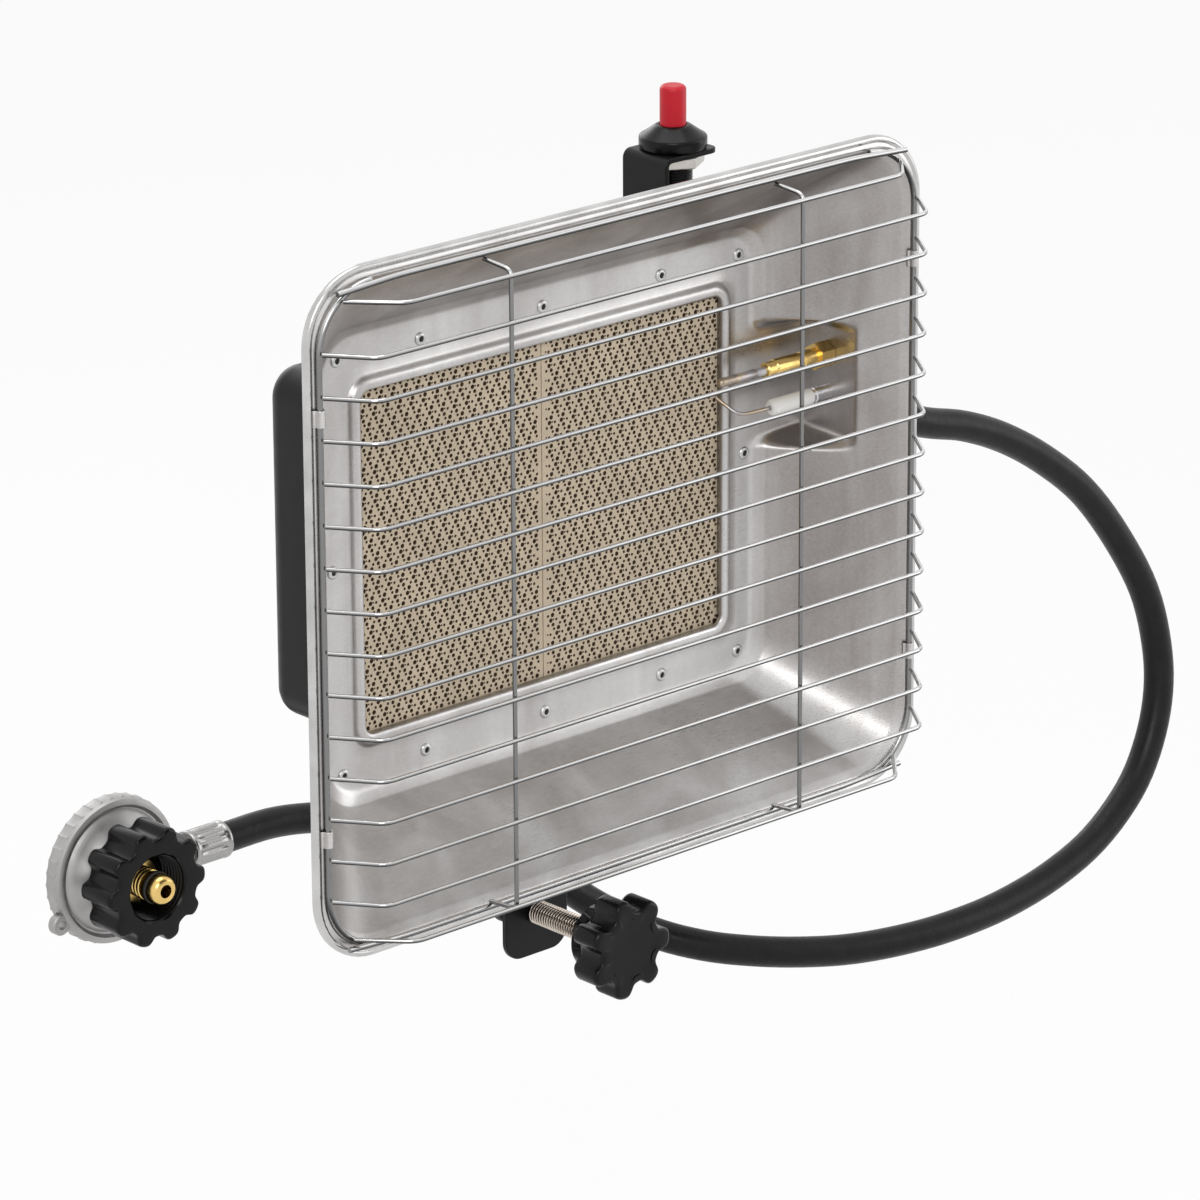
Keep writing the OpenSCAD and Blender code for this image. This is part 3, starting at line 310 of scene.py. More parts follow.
def tinted_steel():
    made = Finish("Heat-tinted steel", (0.55, 0.5, 0.44), 1.0, 0.3)
    bands = made.noise(45.0, 3.0, 0.6, None, 0.8).clipped(0.25, 0.75)
    tint = made.node("ShaderNodeValToRGB",
                     {"stops": [(0.0, (0.30, 0.26, 0.24)), (0.45, (0.52, 0.42, 0.30)),
                                (0.75, (0.45, 0.44, 0.47)), (1.0, (0.62, 0.60, 0.57))]},
                     {0: bands})
    made.set("Base Color", tint)
    made.set("Roughness", bands * 0.15 + 0.25)
    return made.bump(made.noise(1200.0), 0.00003, 0.4).material


FINISHES = {}


def finish_all():
    """Every finish, by the record's material slot it stands for."""
    FINISHES.update({
        "bright_sheet": bright_sheet(),
        "chrome_wire": chrome_with_painted_light(),
        "ceramic_tile": fired_tile(),
        # Painted shade: the walls and floors of the flame holes are painted dark brown, the shade
        # inside the holes.
        "flame_hole": Finish("Flame hole wall", (0.12, 0.075, 0.042), 0.0, 0.95).varied(
            300.0, 0.25, 0.9, 1.0).material,
        "black_enamel": grained("Satin black enamel", colour("enamel"), 0.0,
                                (45.0, 0.25, 0.3, 0.42), (520.0, 2.0, 0.5), 0.00006, 0.35,
                                Specular_IOR_Level=0.2),
        "black_plastic": grained("Moulded black plastic", colour("plastic"), 0.0,
                                 (90.0, 0.3, 0.2, 0.3), (1500.0, 3.0, 0.6), 0.00004, 0.4,
                                 Specular_IOR_Level=0.2),
        "red_plastic": grained("Red plastic", colour("button"), 0.0,
                               (120.0, 0.08, 0.32, 0.45), (1100.0, 2.0), 0.00003, 0.35,
                               Specular_IOR_Level=0.35),
        "hose_rubber": hose_rubber(),
        "reg_casting": grained("Die casting", colour("casting"), 1.0, (55.0, 0.1, 0.42, 0.56),
                               (700.0, 4.0, 0.7), 0.00009, 0.6),
        "probe_steel": tinted_steel(),
        "rivet": metal("Rivet aluminium", (0.6, 0.6, 0.595), 0.24, 0.38),
        # Painted shade: the near-black disc in each rivet's middle stands for the shade in its
        # hole.
        "rivet_core": plain("Rivet mandrel", (0.012, 0.011, 0.01), 0.6, 0.8),
        "fibre": plain("Gasket fibre", (0.86, 0.85, 0.8), 0.85, 0.95, grain=300.0, depth=0.0004),
        "plated_steel": metal("Zinc-plated steel", (0.38, 0.375, 0.37), 0.2, 0.34),
        "valve_casting": metal("Valve casting", (0.58, 0.59, 0.6), 0.35, 0.5, depth=0.00008),
        "brass": metal("Turned brass", colour("brass"), 0.16, 0.3, 90.0, 0.1),
        "copper": metal("Drawn copper", (0.72, 0.40, 0.24), 0.25, 0.4),
        "spring_steel": metal("Bright steel", (0.66, 0.67, 0.69), 0.2, 0.34),
        "white_ceramic": plain("Glazed ceramic", (0.86, 0.85, 0.82), 0.18, 0.3),
        "lead_sleeve": plain("Lead sleeve", (0.022, 0.022, 0.022), 0.45, 0.6),
        "zinc_nut": metal("Zinc nut", (0.56, 0.545, 0.515), 0.3, 0.44, grain=700.0),
        "screw_steel": metal("Stainless thread", (0.56, 0.50, 0.44), 0.18, 0.3, 140.0, 0.12),
        # Painted shade: a dark finish for the roots of the screw's thread.
        "thread_root": metal("Thread root", (0.06, 0.05, 0.04), 0.35, 0.5, 140.0, 0.12),
        "rolled_lip": grained("Rolled lip", (0.56, 0.555, 0.55), 1.0, (60.0, 0.12, 0.18, 0.32),
                              (900.0, 3.0, 0.6), 0.00003, 0.4),
        "rubber": plain("Moulded rubber", (0.025, 0.025, 0.025), 0.6, 0.75),
    })


# ---------------- shapes

def head(x, y, z):
    return (Vector((x, y, z)) + HEAD) * MM


def part(x, y, z):
    return Vector((x, y, z)) * MM


class Shape:
    """Points and faces that become one object."""

    def __init__(self, place=head):
        self.place = place
        self.points = []
        self.faces = []
        self.slots = []

    def skin(self, rings, slot=0, ends=False):
        """Walls between closed rings of equal length, in order."""
        start, count = len(self.points), len(rings[0])
        self.points += [p for ring in rings for p in ring]
        for i in range(len(rings) - 1):
            for k in range(count):
                a, b = start + i * count + k, start + i * count + (k + 1) % count
                self.faces.append((a, b, b + count, a + count))
                self.slots.append(slot)
        if ends:
            last = start + (len(rings) - 1) * count
            self.faces += [tuple(range(start + count - 1, start - 1, -1)),
                           tuple(range(last, last + count))]
            self.slots += [slot, slot]
        return self

    def turned(self, profile, centre, axis, sides, slot=0, wave=None):
        """Turns (radius, height) pairs round an axis; wave gives a radius for an angle."""
        z, u, v = axes_of(axis)
        centre = Vector(centre)
        rings = []
        for radius, height in profile:
            ring = []
            for k in range(sides):
                a = 2 * math.pi * k / sides
                r = wave(radius, a) if wave else radius
                ring.append(centre + z * height + (u * math.cos(a) + v * math.sin(a)) * r)
            rings.append(ring)
        return self.skin(rings, slot=slot)

    def tube(self, path, radius, sides):
        """A round tube along a path, closed at both ends."""
        path = [Vector(p) for p in path]
        normal = None
        rings = []
        for i, point in enumerate(path):
            ahead = (path[min(i + 1, len(path) - 1)] - path[max(i - 1, 0)]).normalized()
            if normal is None:
                normal = ahead.orthogonal()
            normal = (normal - ahead * normal.dot(ahead)).normalized()
            side = ahead.cross(normal)
            rings.append([point + (normal * math.cos(a) + side * math.sin(a)) * radius
                          for a in (2 * math.pi * k / sides for k in range(sides))])
        return self.skin(rings, ends=True)

    def slab(self, outline, axis, low, high):
        """An outline of pairs, between two places on the axis (0, 1 or 2) that it lacks."""
        return self.skin([[(*p[:axis], level, *p[axis:]) for p in outline]
                          for level in (low, high)], ends=True)

    def mesh(self, name, merge=0.0005):
        """The shape as a mesh that faces outwards, with near points merged."""
        mesh = bpy.data.meshes.new(name)
        mesh.from_pydata([self.place(*p) for p in self.points], [], self.faces)
        mesh.validate()
        if len(mesh.polygons) == len(self.slots):
            mesh.polygons.foreach_set("material_index", self.slots)
        return cleaned(mesh, mesh, merge * MM)

    def done(self, name, finishes, body="root", merge=0.0005, **settings):
        return settle(self.mesh(name, merge), name, finishes, body, **settings)


def cleaned(source, target, merge, flatten=False):
    """Gives the target the source's faces, with near points merged, facing outwards."""
    work = bmesh.new()
    work.from_mesh(source)
    if merge:
        bmesh.ops.remove_doubles(work, verts=work.verts, dist=merge)
    if flatten:
        bmesh.ops.dissolve_limit(work, angle_limit=math.radians(2), verts=work.verts,
                                 edges=work.edges)
    bmesh.ops.recalc_face_normals(work, faces=work.faces)
    work.to_mesh(target)
    work.free()
    return target


def settle(mesh, name, finishes, body="root", bevel=0.0, sharp=35.0, replaces=(), segments=2):
    """Makes a mesh an object with its finishes, smooth faces and its body."""
    piece = bpy.data.objects.new(name, mesh)
    bpy.context.scene.collection.objects.link(piece)
    names = [finishes] if isinstance(finishes, str) else list(finishes)
    which = [face.material_index for face in mesh.polygons]
    mesh.materials.clear()
    for each in names:
        mesh.materials.append(FINISHES[each])
    mesh.polygons.foreach_set("material_index", which)
    mesh.shade_smooth()
    mesh.set_sharp_from_angle(angle=math.radians(sharp))
    if bevel:
        edge = piece.modifiers.new("Edge", "BEVEL")
        edge.width = bevel * MM
        edge.segments = segments
        edge.limit_method = "ANGLE"
        edge.angle_limit = math.radians(sharp)
        edge.harden_normals = False
    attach(piece, body)
    if replaces:
        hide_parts(*replaces)
    return piece


def axes_of(axis):
    """The axis, and two directions square to it, right-handed."""
    z = Vector(axis).normalized()
    u = Vector((1, 0, 0)) if abs(z.x) < 0.9 else Vector((0, 1, 0))
    u = (u - z * u.dot(z)).normalized()
    return z, u, z.cross(u)


def arc(cx, cy, r, a0, a1, steps):
    """Points on an arc, angles in degrees."""
    return [(cx + r * math.cos(math.radians(a0 + (a1 - a0) * k / steps)),
             cy + r * math.sin(math.radians(a0 + (a1 - a0) * k / steps)))
            for k in range(steps + 1)]


def eased(points, radius, steps=6):
    """Rounds the corners of a path."""
    points = [Vector(p) for p in points]
    out = [points[0]]
    for before, corner, after in zip(points, points[1:], points[2:]):
        r = min(radius, 0.49 * (before - corner).length, 0.49 * (after - corner).length)
        a = corner + (before - corner).normalized() * r
        c = corner + (after - corner).normalized() * r
        for k in range(steps + 1):
            t = k / steps
            out.append(a * (1 - t) ** 2 + corner * 2 * t * (1 - t) + c * t * t)
    return out + [points[-1]]


def flowing(points, steps):
    """A smooth curve through every point."""
    points = [Vector(p) for p in points]
    ends = [points[0] * 2 - points[1]] + points + [points[-1] * 2 - points[-2]]
    out = []
    for a, b, c, d in zip(ends, ends[1:], ends[2:], ends[3:]):
        for k in range(steps):
            t = k / steps
            out.append(0.5 * (b * 2 + (c - a) * t + (a * 2 - b * 5 + c * 4 - d) * t ** 2
                              + (b * 3 - a - c * 3 + d) * t ** 3))
    return out + [points[-1]]


def rounded(w, h, r, corner, sides):
    """A rounded rectangle of (x, z) points, from the right side's middle upwards."""
    out = []
    for quarter in range(4):
        angle = 90 * quarter
        turn = Matrix.Rotation(math.radians(angle), 2)
        half_x, half_z = (w / 2, h / 2) if quarter % 2 == 0 else (h / 2, w / 2)
        count = sides[quarter % 2]
        run = [(half_x, -(half_z - r) + (2 * (half_z - r)) * k / count) for k in range(count)]
        run += arc(half_x - r, half_z - r, r, 0, 90, corner)[:-1]
        out += [tuple(turn @ Vector(p)) for p in run]
    return out


def hexagon(across, cx, cy):
    return arc(cx, cy, across / math.sqrt(3), 30, 330, 5)


def star(radius, angle, lobes, deep):
    """The lobed outline's radius at an angle, for a tip radius."""
    sharpness = 0.35
    wave = math.cos(lobes * angle)
    flat = wave * math.sqrt((1 + sharpness) / (sharpness + wave * wave))
    return radius - deep / 2 + deep / 2 * flat


# ---------------- grown shapes

class Recipe:
    """A Geometry Nodes tree that starts from a piece's mesh and ends in one finish."""

    def __init__(self, name, **kinds):
        self.tree = bpy.data.node_groups.new(name, "GeometryNodeTree")
        face = self.tree.interface
        for way in ("INPUT", "OUTPUT"):
            face.new_socket("Geometry", in_out=way, socket_type="NodeSocketGeometry")
        self.sockets = {}
        for label, kind in {**kinds, "Finish": "Material"}.items():
            made = face.new_socket(label, in_out="INPUT", socket_type="NodeSocket" + kind)
            self.sockets[label] = made.identifier
        self.start = self.tree.nodes.new("NodeGroupInput")
        self.end = self.tree.nodes.new("NodeGroupOutput")

    def given(self, label="Geometry"):
        return self.start.outputs[label]

    def node(self, kind, settings, values, out=0):
        return add_node(self.tree, kind, settings, values).outputs[out]

    def finish(self, geometry):
        whole = self.node("GeometryNodeRealizeInstances", {}, {0: geometry})
        whole = self.node("GeometryNodeSetMaterial", {}, {0: whole, 2: self.given("Finish")})
        self.tree.links.new(whole, self.end.inputs[0])
        return self

    def grow(self, shape, name, inputs):
        """Runs the tree on a shape's points and edges and gives back a plain mesh."""
        holder = bpy.data.objects.new(name + "_seed", shape)
        bpy.context.scene.collection.objects.link(holder)
        step = holder.modifiers.new("Grow", "NODES")
        step.node_group = self.tree
        for label, value in inputs.items():
            step[self.sockets[label]] = value
        ready = holder.evaluated_get(bpy.context.evaluated_depsgraph_get())
        mesh = bpy.data.meshes.new_from_object(ready)
        holder.modifiers.remove(step)
        bpy.data.objects.remove(holder)
        mesh.name = name
        return mesh


def threads_of(paths):
    """A mesh of bare edges, one run for each path."""
    points, edges = [], []
    for path in paths:
        first = len(points)
        points += [head(*p) for p in path]
        edges += [(first + k, first + k + 1) for k in range(len(path) - 1)]
    mesh = bpy.data.meshes.new("run")
    mesh.from_pydata(points, edges, [])
    return mesh


WIRE_SIDES = 14


def wire_recipe():
    made = Recipe("Round wire", Radius="Float")
    line = made.node("GeometryNodeMeshToCurve", {}, {0: made.given()})
    ring = made.node("GeometryNodeCurvePrimitiveCircle", {},
                     {"Resolution": WIRE_SIDES, "Radius": made.given("Radius")})
    body = made.node("GeometryNodeCurveToMesh", {}, {"Curve": line, "Profile Curve": ring,
                                                     "Fill Caps": True})
    return made.finish(body)


def radius_field(made):
    return made.node("GeometryNodeInputNamedAttribute", {"data_type": "FLOAT"},
                     {"Name": "radius"}, "Attribute")


def scatter_recipe():
    made = Recipe("Set out on points", Piece="Object")
    radius = radius_field(made)
    spread = made.node("ShaderNodeCombineXYZ", {}, {"X": radius, "Y": radius, "Z": 1.0})
    piece = made.node("GeometryNodeObjectInfo", {}, {"Object": made.given("Piece")},
                      "Geometry")
    return made.finish(made.node("GeometryNodeInstanceOnPoints", {},
                                 {"Points": made.given(), "Instance": piece, "Scale": spread}))


def wires(name, paths, diameter, finish="chrome_wire", **settings):
    """Wires bent along paths, grown by the wire recipe."""
    mesh = wire_recipe().grow(threads_of(paths), name,
                              {"Radius": diameter / 2 * MM, "Finish": FINISHES[finish]})
    return settle(mesh, name, finish, sharp=50, **settings)


def seed(points, radii):
    """Bare points, in metres, each with the radius that its piece is widened to."""
    mesh = bpy.data.meshes.new("spots")
    mesh.from_pydata(points, [], [])
    mesh.attributes.new("radius", "FLOAT", "POINT").data.foreach_set("value", radii)
    return mesh


def set_out(name, shape, points, radii, finish):
    """A copy of a small mesh on every point, grown by the scatter recipe."""
    holder = bpy.data.objects.new(name + "_one", shape)
    bpy.context.scene.collection.objects.link(holder)
    mesh = scatter_recipe().grow(seed(points, radii), name,
                                 {"Piece": holder, "Finish": FINISHES[finish]})
    bpy.data.objects.remove(holder)
    return mesh


def gathered(name, parts, finishes, **settings):
    """Joins meshes into one piece; each mesh takes its own finish."""
    work = bmesh.new()
    for k, mesh in enumerate(parts):
        first = len(work.faces)
        work.from_mesh(mesh)
        work.faces.ensure_lookup_table()
        for face in work.faces[first:]:
            face.material_index = k
    whole = bpy.data.meshes.new(name)
    work.to_mesh(whole)
    work.free()
    return settle(whole, name, finishes, **settings)


def dress(node, finish):
    """Gives a node that keeps its own shape its finish."""
    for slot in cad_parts[node].material_slots:
        slot.link = "OBJECT"
        slot.material = FINISHES[finish]


def broken_edges(node, finish, bevel):
    """A merged copy of a node with its sharp edges broken."""
    mesh = cleaned(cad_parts[node].data, bpy.data.meshes.new(node + "_shown"), MERGE, True)
    return settle(mesh, node + "_shown", finish, bevel=bevel, sharp=40, replaces=(node,))


def coil(node):
    """A merged copy of a spring, with a mesh of its own."""
    piece = broken_edges(node, "spring_steel", 0)
    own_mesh(piece)


# ---------------- reflector

OPENING_W, OPENING_H = 228.6, 167.0
FLANGE, FLARE_X, FLARE_Z = 7.0, 47.5, 45.0
POCKET_X, POCKET_LOW, POCKET_HIGH = 170.0, 4.0, 64.0
# The rim's section: how far in from its edge, and how far back
LIP = [(1.4, 3.6), (0.6, 4.0), (0.05, 3.5), (0, 2.8), (0, 1.8), (0.12, 1.15), (0.5, 0.5),
       (1.1, 0.12), (1.8, 0.0), (2.4, 0.08), (2.9, 0.4), (3.3, 0.62), (3.9, 0.5), (4.5, 0.25),
       (5.3, 0.18), (6.1, 0.2), (6.6, 0.45), (7.05, 0.95)]
LIP_BRIGHT = 11


def smooth_step(value, low, high):
    t = min(1.0, max(0.0, (value - low) / (high - low)))
    return t * t * (3 - 2 * t)


def pocket_share(z):
    """How much of the side pocket a height on the right wall takes: 0 to 1."""
    return (smooth_step(z, POCKET_LOW - 3, POCKET_LOW + 4)
            * (1 - smooth_step(z, POCKET_HIGH - 4, POCKET_HIGH + 3)))


def pocket_path(t, rim, depth):
    """The pocket's own section: down the wall, straight back, then in along its floor."""
    start = (rim / 2 - FLANGE - POCKET_X) / FLARE_X
    turn = 0.64
    if t < start:
        return rim / 2 - FLANGE - FLARE_X * t, depth * t
    if t < turn:
        return POCKET_X, depth * (start + (1 - start) * (t - start) / (turn - start))
    inner = rim / 2 - FLANGE - FLARE_X
    return POCKET_X + (inner - POCKET_X) * (t - turn) / (1 - turn), depth


def dish_loops():
    """The stamping's front face as loops, from the rolled lip in to the tile opening."""
    w, h, r, depth = size("rim_w"), size("rim_h"), size("rim_r"), size("dish_depth")
    wall_from, wall_to, wall_steps, low_r, collar = 0.035, 0.94, 48, 20, 8.2
    loops = []

    def loop(dx, dz, radius, y, t=None):
        ring = []
        for x, z in rounded(w - 2 * dx, h - 2 * dz, radius, 12, (180, 40)):
            share = pocket_share(z) if t is not None and x > 0 else 0
            if share and x > w / 2 - dx - 6:
                px, py = pocket_path(t, w, depth)
                ring.append((x + (px - x) * share, y + (py - y) * share, z))
            else:
                ring.append((x, y, z))
        loops.append(ring)

    for d, y in LIP:
        loop(d, d, r - d, y)
    for k in range(1, wall_steps + 1):
        t = wall_from + (wall_to - wall_from) * k / wall_steps
        loop(FLANGE + FLARE_X * t, FLANGE + FLARE_Z * t, (r - FLANGE) * (1 - t) + low_r * t,
             depth * t, t)
    for dx, dy, t in ((0.4, 1.6, 0.965), (1.4, 0.6, 0.985), (3.0, 0.1, 1.0)):
        loop(FLANGE + FLARE_X + dx, FLANGE + FLARE_Z + dx, low_r - dx * 0.5, depth - dy, t)
    inner_x, inner_z = w / 2 - OPENING_W / 2, h / 2 - OPENING_H / 2
    start_x, start_z = FLANGE + FLARE_X + 5, FLANGE + FLARE_Z + 5
    for k in range(4):
        s = k / 3
        loop(start_x + (inner_x - collar - start_x) * s,
             start_z + (inner_z - collar - start_z) * s, 18 - 4 * s, depth)
    for d, y in ((7.2, -0.35), (6.4, -1.2), (5.6, -2.1), (4.8, -2.75), (3.8, -3.0),
                 (1.8, -3.0), (0.8, -2.7), (0.2, -2.0), (0.0, -0.8), (0.0, 1.1)):
        loop(inner_x - d, inner_z - d, 5 + d, depth + y)
    return loops


def strap(shape, side, z):
    """A lanced strap that holds a side wire down on the rim."""
    x, half = side * SIDE_X, 4
    left, right = ([(x + s * 3.4, 0.2), (x + s * 3.4, -0.85), (x + s * 2.9, -0.9)]
                   for s in (-1, 1))
    section = left + arc(x, SIDE_Y, 2.35, 180, 360, 14) + right[::-1]
    shape.slab(section + arc(x, SIDE_Y, 1.5, 0, -180, 10), 2, z - half, z + half)


def reflector():
    shape = Shape()
    loops = dish_loops()
    shape.skin(loops[:LIP_BRIGHT + 1], slot=1).skin(loops[LIP_BRIGHT:])
    piece = shape.done("reflector_sheet", ("bright_sheet", "rolled_lip"), sharp=60,
                       merge=0.002, replaces=("reflector",))
    wall = piece.modifiers.new("Wall", "SOLIDIFY")
    wall.thickness = size("sheet") * MM
    wall.offset = -1.0
    wall.use_even_offset = False
    straps = Shape()
    for side in (-1, 1):
        for z in (-100, 100):
            strap(straps, side, z)
    straps.done("reflector_straps", "bright_sheet", bevel=0.2)


def rivet_points():
    """Where the twelve rivets stand, as (x, z)."""
    far, near, high, side = 127.0, 76.0, 101.0, 131.25
    row = [(x, s * high) for s in (-1, 1) for x in (-far, -near, 0, near, far)]
    return row + [(-side, 0), (side, 0)]


def rivets():
    def ring(profile, sides):
        return Shape(part).turned(profile, (0, 0, 0), REARWARD, sides).mesh("ring", 0.001)

    dome = ring([(1.35, 0.35), (1.35, -0.75), (1.55, -1.05), (2.0, -1.15), (2.6, -0.95),
                 (3.1, -0.5), (3.3, -0.05), (3.3, 0.0), (1.3, 0.4)], 28)
    # A disc in each dome's hole, in the near-black rivet_core finish: painted shade of the hole.
    core = ring([(0, -0.1), (0.9, -0.15), (1.35, -0.1), (1.36, 0.3), (0, 0.3)], 16)
    tail = ring([(0, 3.4), (1.4, 3.3), (2.5, 2.8), (2.95, 2.0), (2.9, 1.0), (2.2, 0), (0, 0)], 20)
    plate, foot, on_foot = 58.0, 2.5, (76.0, 101.0)
    front, back = [], []
    for x, z in rivet_points():
        front.append(head(x, plate, z))
        back.append(head(x, FLANGE_BACK + (foot if (x, z) == on_foot else 0), z))
    one = [1.0] * len(front)
    gathered("rivets", [set_out("dome", dome, front, one, "rivet"),
                        set_out("core", core, front, one, "rivet_core"),
                        set_out("tail", tail, back, one, "rivet")],
             ("rivet", "rivet_core", "rivet"), sharp=40, replaces=("frame_rivets",))


# ---------------- burner

# One repeat of the hole pattern, as shares of its width: x, z, and the hole's kind.
# Each row is shifted and raised by shares of that width too.
HOLE_CELL = [(0.0, 0.0, "big"), (0.46, -0.01, "small"), (-0.23, -0.30, "small"),
             (0.178, -0.316, "wide"), (-0.36, -0.592, "big"), (0.264, -0.605, "small"),
             (0.22, 0.03, "tiny")]
ROW_SHIFT, ROW_RISE, WIDE, TINY = 0.5, 0.928, 0.88, 0.66
HOLE_SIDES, HOLE_DEPTH, HOLE_MARGIN = 10, 3.5, 1.5


def hole_spots(width, height):
    """The flame holes of a tile's face round its middle: x, z and radius."""
    across = size("hole_pitch")
    shift, rise = across * ROW_SHIFT, across * ROW_RISE
    radii = {"big": size("hole_big") / 2, "small": size("hole_small") / 2}
    radii.update(wide=radii["big"] * WIDE, tiny=radii["small"] * TINY)
    rows, columns = int(height / rise) + 2, int(width / across) + 3
    spots = []
    for j in range(-rows, rows + 1):
        for i in range(-columns, columns + 1):
            for dx, dz, kind in HOLE_CELL:
                x = across * (i + dx) + shift * (j % 2)
                z = across * dz + rise * j
                r = radii[kind]
                room = HOLE_MARGIN + r
                if abs(x) < width / 2 - room and abs(z) < height / 2 - room:
                    spots.append((x, z, r))
    return spots


def holed_face_recipe():
    made = Recipe("Face with holes", Width="Float", Height="Float")
    ring = made.node("GeometryNodeCurvePrimitiveCircle", {},
                     {"Resolution": HOLE_SIDES, "Radius": 1.0})
    rings = made.node("GeometryNodeInstanceOnPoints", {},
                      {"Points": made.given(), "Instance": ring,
                       "Scale": radius_field(made)})
    edge = made.node("GeometryNodeCurvePrimitiveQuadrilateral", {},
                     {"Width": made.given("Width"), "Height": made.given("Height")})
    both = made.node("GeometryNodeJoinGeometry", {}, {0: [edge, rings]})
    both = made.node("GeometryNodeRealizeInstances", {}, {0: both})
    return made.finish(made.node("GeometryNodeFillCurve", {}, {0: both}))


def tile_skin(width, height):
    """A tile's holed face and its holes' walls as meshes that lie flat round the middle."""
    spots = hole_spots(width, height)
    points = [(x * MM, z * MM, 0) for x, z, r in spots]
    radii = [r * MM for x, z, r in spots]
    face = holed_face_recipe().grow(seed(points, radii), "face",
                                    {"Width": width * MM, "Height": height * MM,
                                     "Finish": FINISHES["ceramic_tile"]})
    turns = [2 * math.pi * k / HOLE_SIDES for k in range(HOLE_SIDES)]
    cup = bpy.data.meshes.new("cup")
    cup.from_pydata([(math.cos(a), math.sin(a), z) for z in (0, -HOLE_DEPTH * MM)
                     for a in turns], [],
                    [(k, (k + 1) % HOLE_SIDES, HOLE_SIDES + (k + 1) % HOLE_SIDES, HOLE_SIDES + k)
                     for k in range(HOLE_SIDES)] + [tuple(range(HOLE_SIDES, 2 * HOLE_SIDES))])
    # The hole walls and floors take the dark flame_hole finish: painted shade inside each hole.
    return face, set_out("walls", cup, points, radii, "flame_hole")


def tiles():
    """Two perforated tiles: a filled face, the walls of its holes and a block behind."""
    width, height = ((TILE_HIGH[k] - TILE_LOW[k]) / MM for k in (0, 2))
    skin = tile_skin(width, height)
    for node in ("tile_left", "tile_right"):
        low, high = (Vector(corner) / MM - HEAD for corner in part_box(node))
        middle = head((low.x + high.x) / 2, low.y, (low.z + high.z) / 2)
        face, walls = (mesh.copy() for mesh in skin)
        for mesh in (face, walls):
            mesh.transform(Matrix.Translation(middle) @ Matrix.Rotation(math.pi / 2, 4, "X"))
        front, back = ([(low.x, y, low.z), (high.x, y, low.z), (high.x, y, high.z),
                        (low.x, y, high.z)] for y in (low.y, high.y))
        block = bpy.data.meshes.new("block")
        block.from_pydata([head(*p) for p in front + back], [],
                          [((k + 1) % 4, k, 4 + k, 4 + (k + 1) % 4) for k in range(4)]
                          + [(7, 6, 5, 4)])
        gathered("flame_" + node, [face, walls, block],
                 ("ceramic_tile", "flame_hole", "ceramic_tile"), sharp=30, replaces=(node,))


def burner_shell():
    def loop(w, h, r, y):
        return [(x, y, z) for x, z in rounded(w, h, r, 12, (12, 16))]

    w, neck, deep, r, edge, bend = 250, 190, 172, 14, 102.2, 12
    rings = [loop(w - 2.4, neck - 2.4, r - 1.2, SHEET_BACK),
             loop(w + 25, neck + 22, 8, SHEET_BACK), loop(w + 25, neck + 22, 8, FLANGE_BACK),
             loop(w + 3.6, neck + 3.6, r + 1, FLANGE_BACK),
             loop(w + 1.2, neck + 1.2, r + 0.4, 61.0), loop(w, neck, r, 62.4),
             loop(w, neck, r, 72.0)]
    rings += [loop(w - inset, neck - (neck - deep) * s, r, y)
              for inset, s, y in ((0, 0.06, 73.4), (0.04, 0.3, 74.1), (0.04, 0.75, 74.1),
                                  (0, 0.95, 74.6), (0, 1.0, 76.0), (0, 1.0, edge))]
    for out, back in arc(0, 0, bend, 0, 90, 8)[1:]:
        d = bend - out
        rings.append(loop(w - 2 * d, deep - 2 * d, max(r - d * 0.5, 3), edge + back))
    rings += [loop(w - 2 * inset, deep - 2 * inset, 9, y)
              for inset, y in ((16, 114.2), (18, 114.0), (19.5, 113.0), (21, 112.8))]
    shape = Shape().skin(rings)
    last = len(shape.points) - len(rings[0])
    shape.faces.append(tuple(range(last, len(shape.points))))
    shape.slots.append(0)
    shape.done("burner_shell", "black_enamel", sharp=40, replaces=("burner_box",), merge=0.001)


# ---------------- guard

# Where the frame wires run, how far the bars stand out, and where the wires bend
SIDE_X, SIDE_Y, CROSS_Z, CROSS_Y, REACH = 187.0, -1.45, 158.0, -4.3, 24.9
CORNER, END_Z, END_X, BEND_X, UPRIGHT_X = 31.0, 152.0, 155.0, 172.0, 91.5
BARS, PITCH, CLEAR = 14, 20, 0.05
BAR_BEND, UPRIGHT_BEND, CROSS_BEND = 5, 4, 8


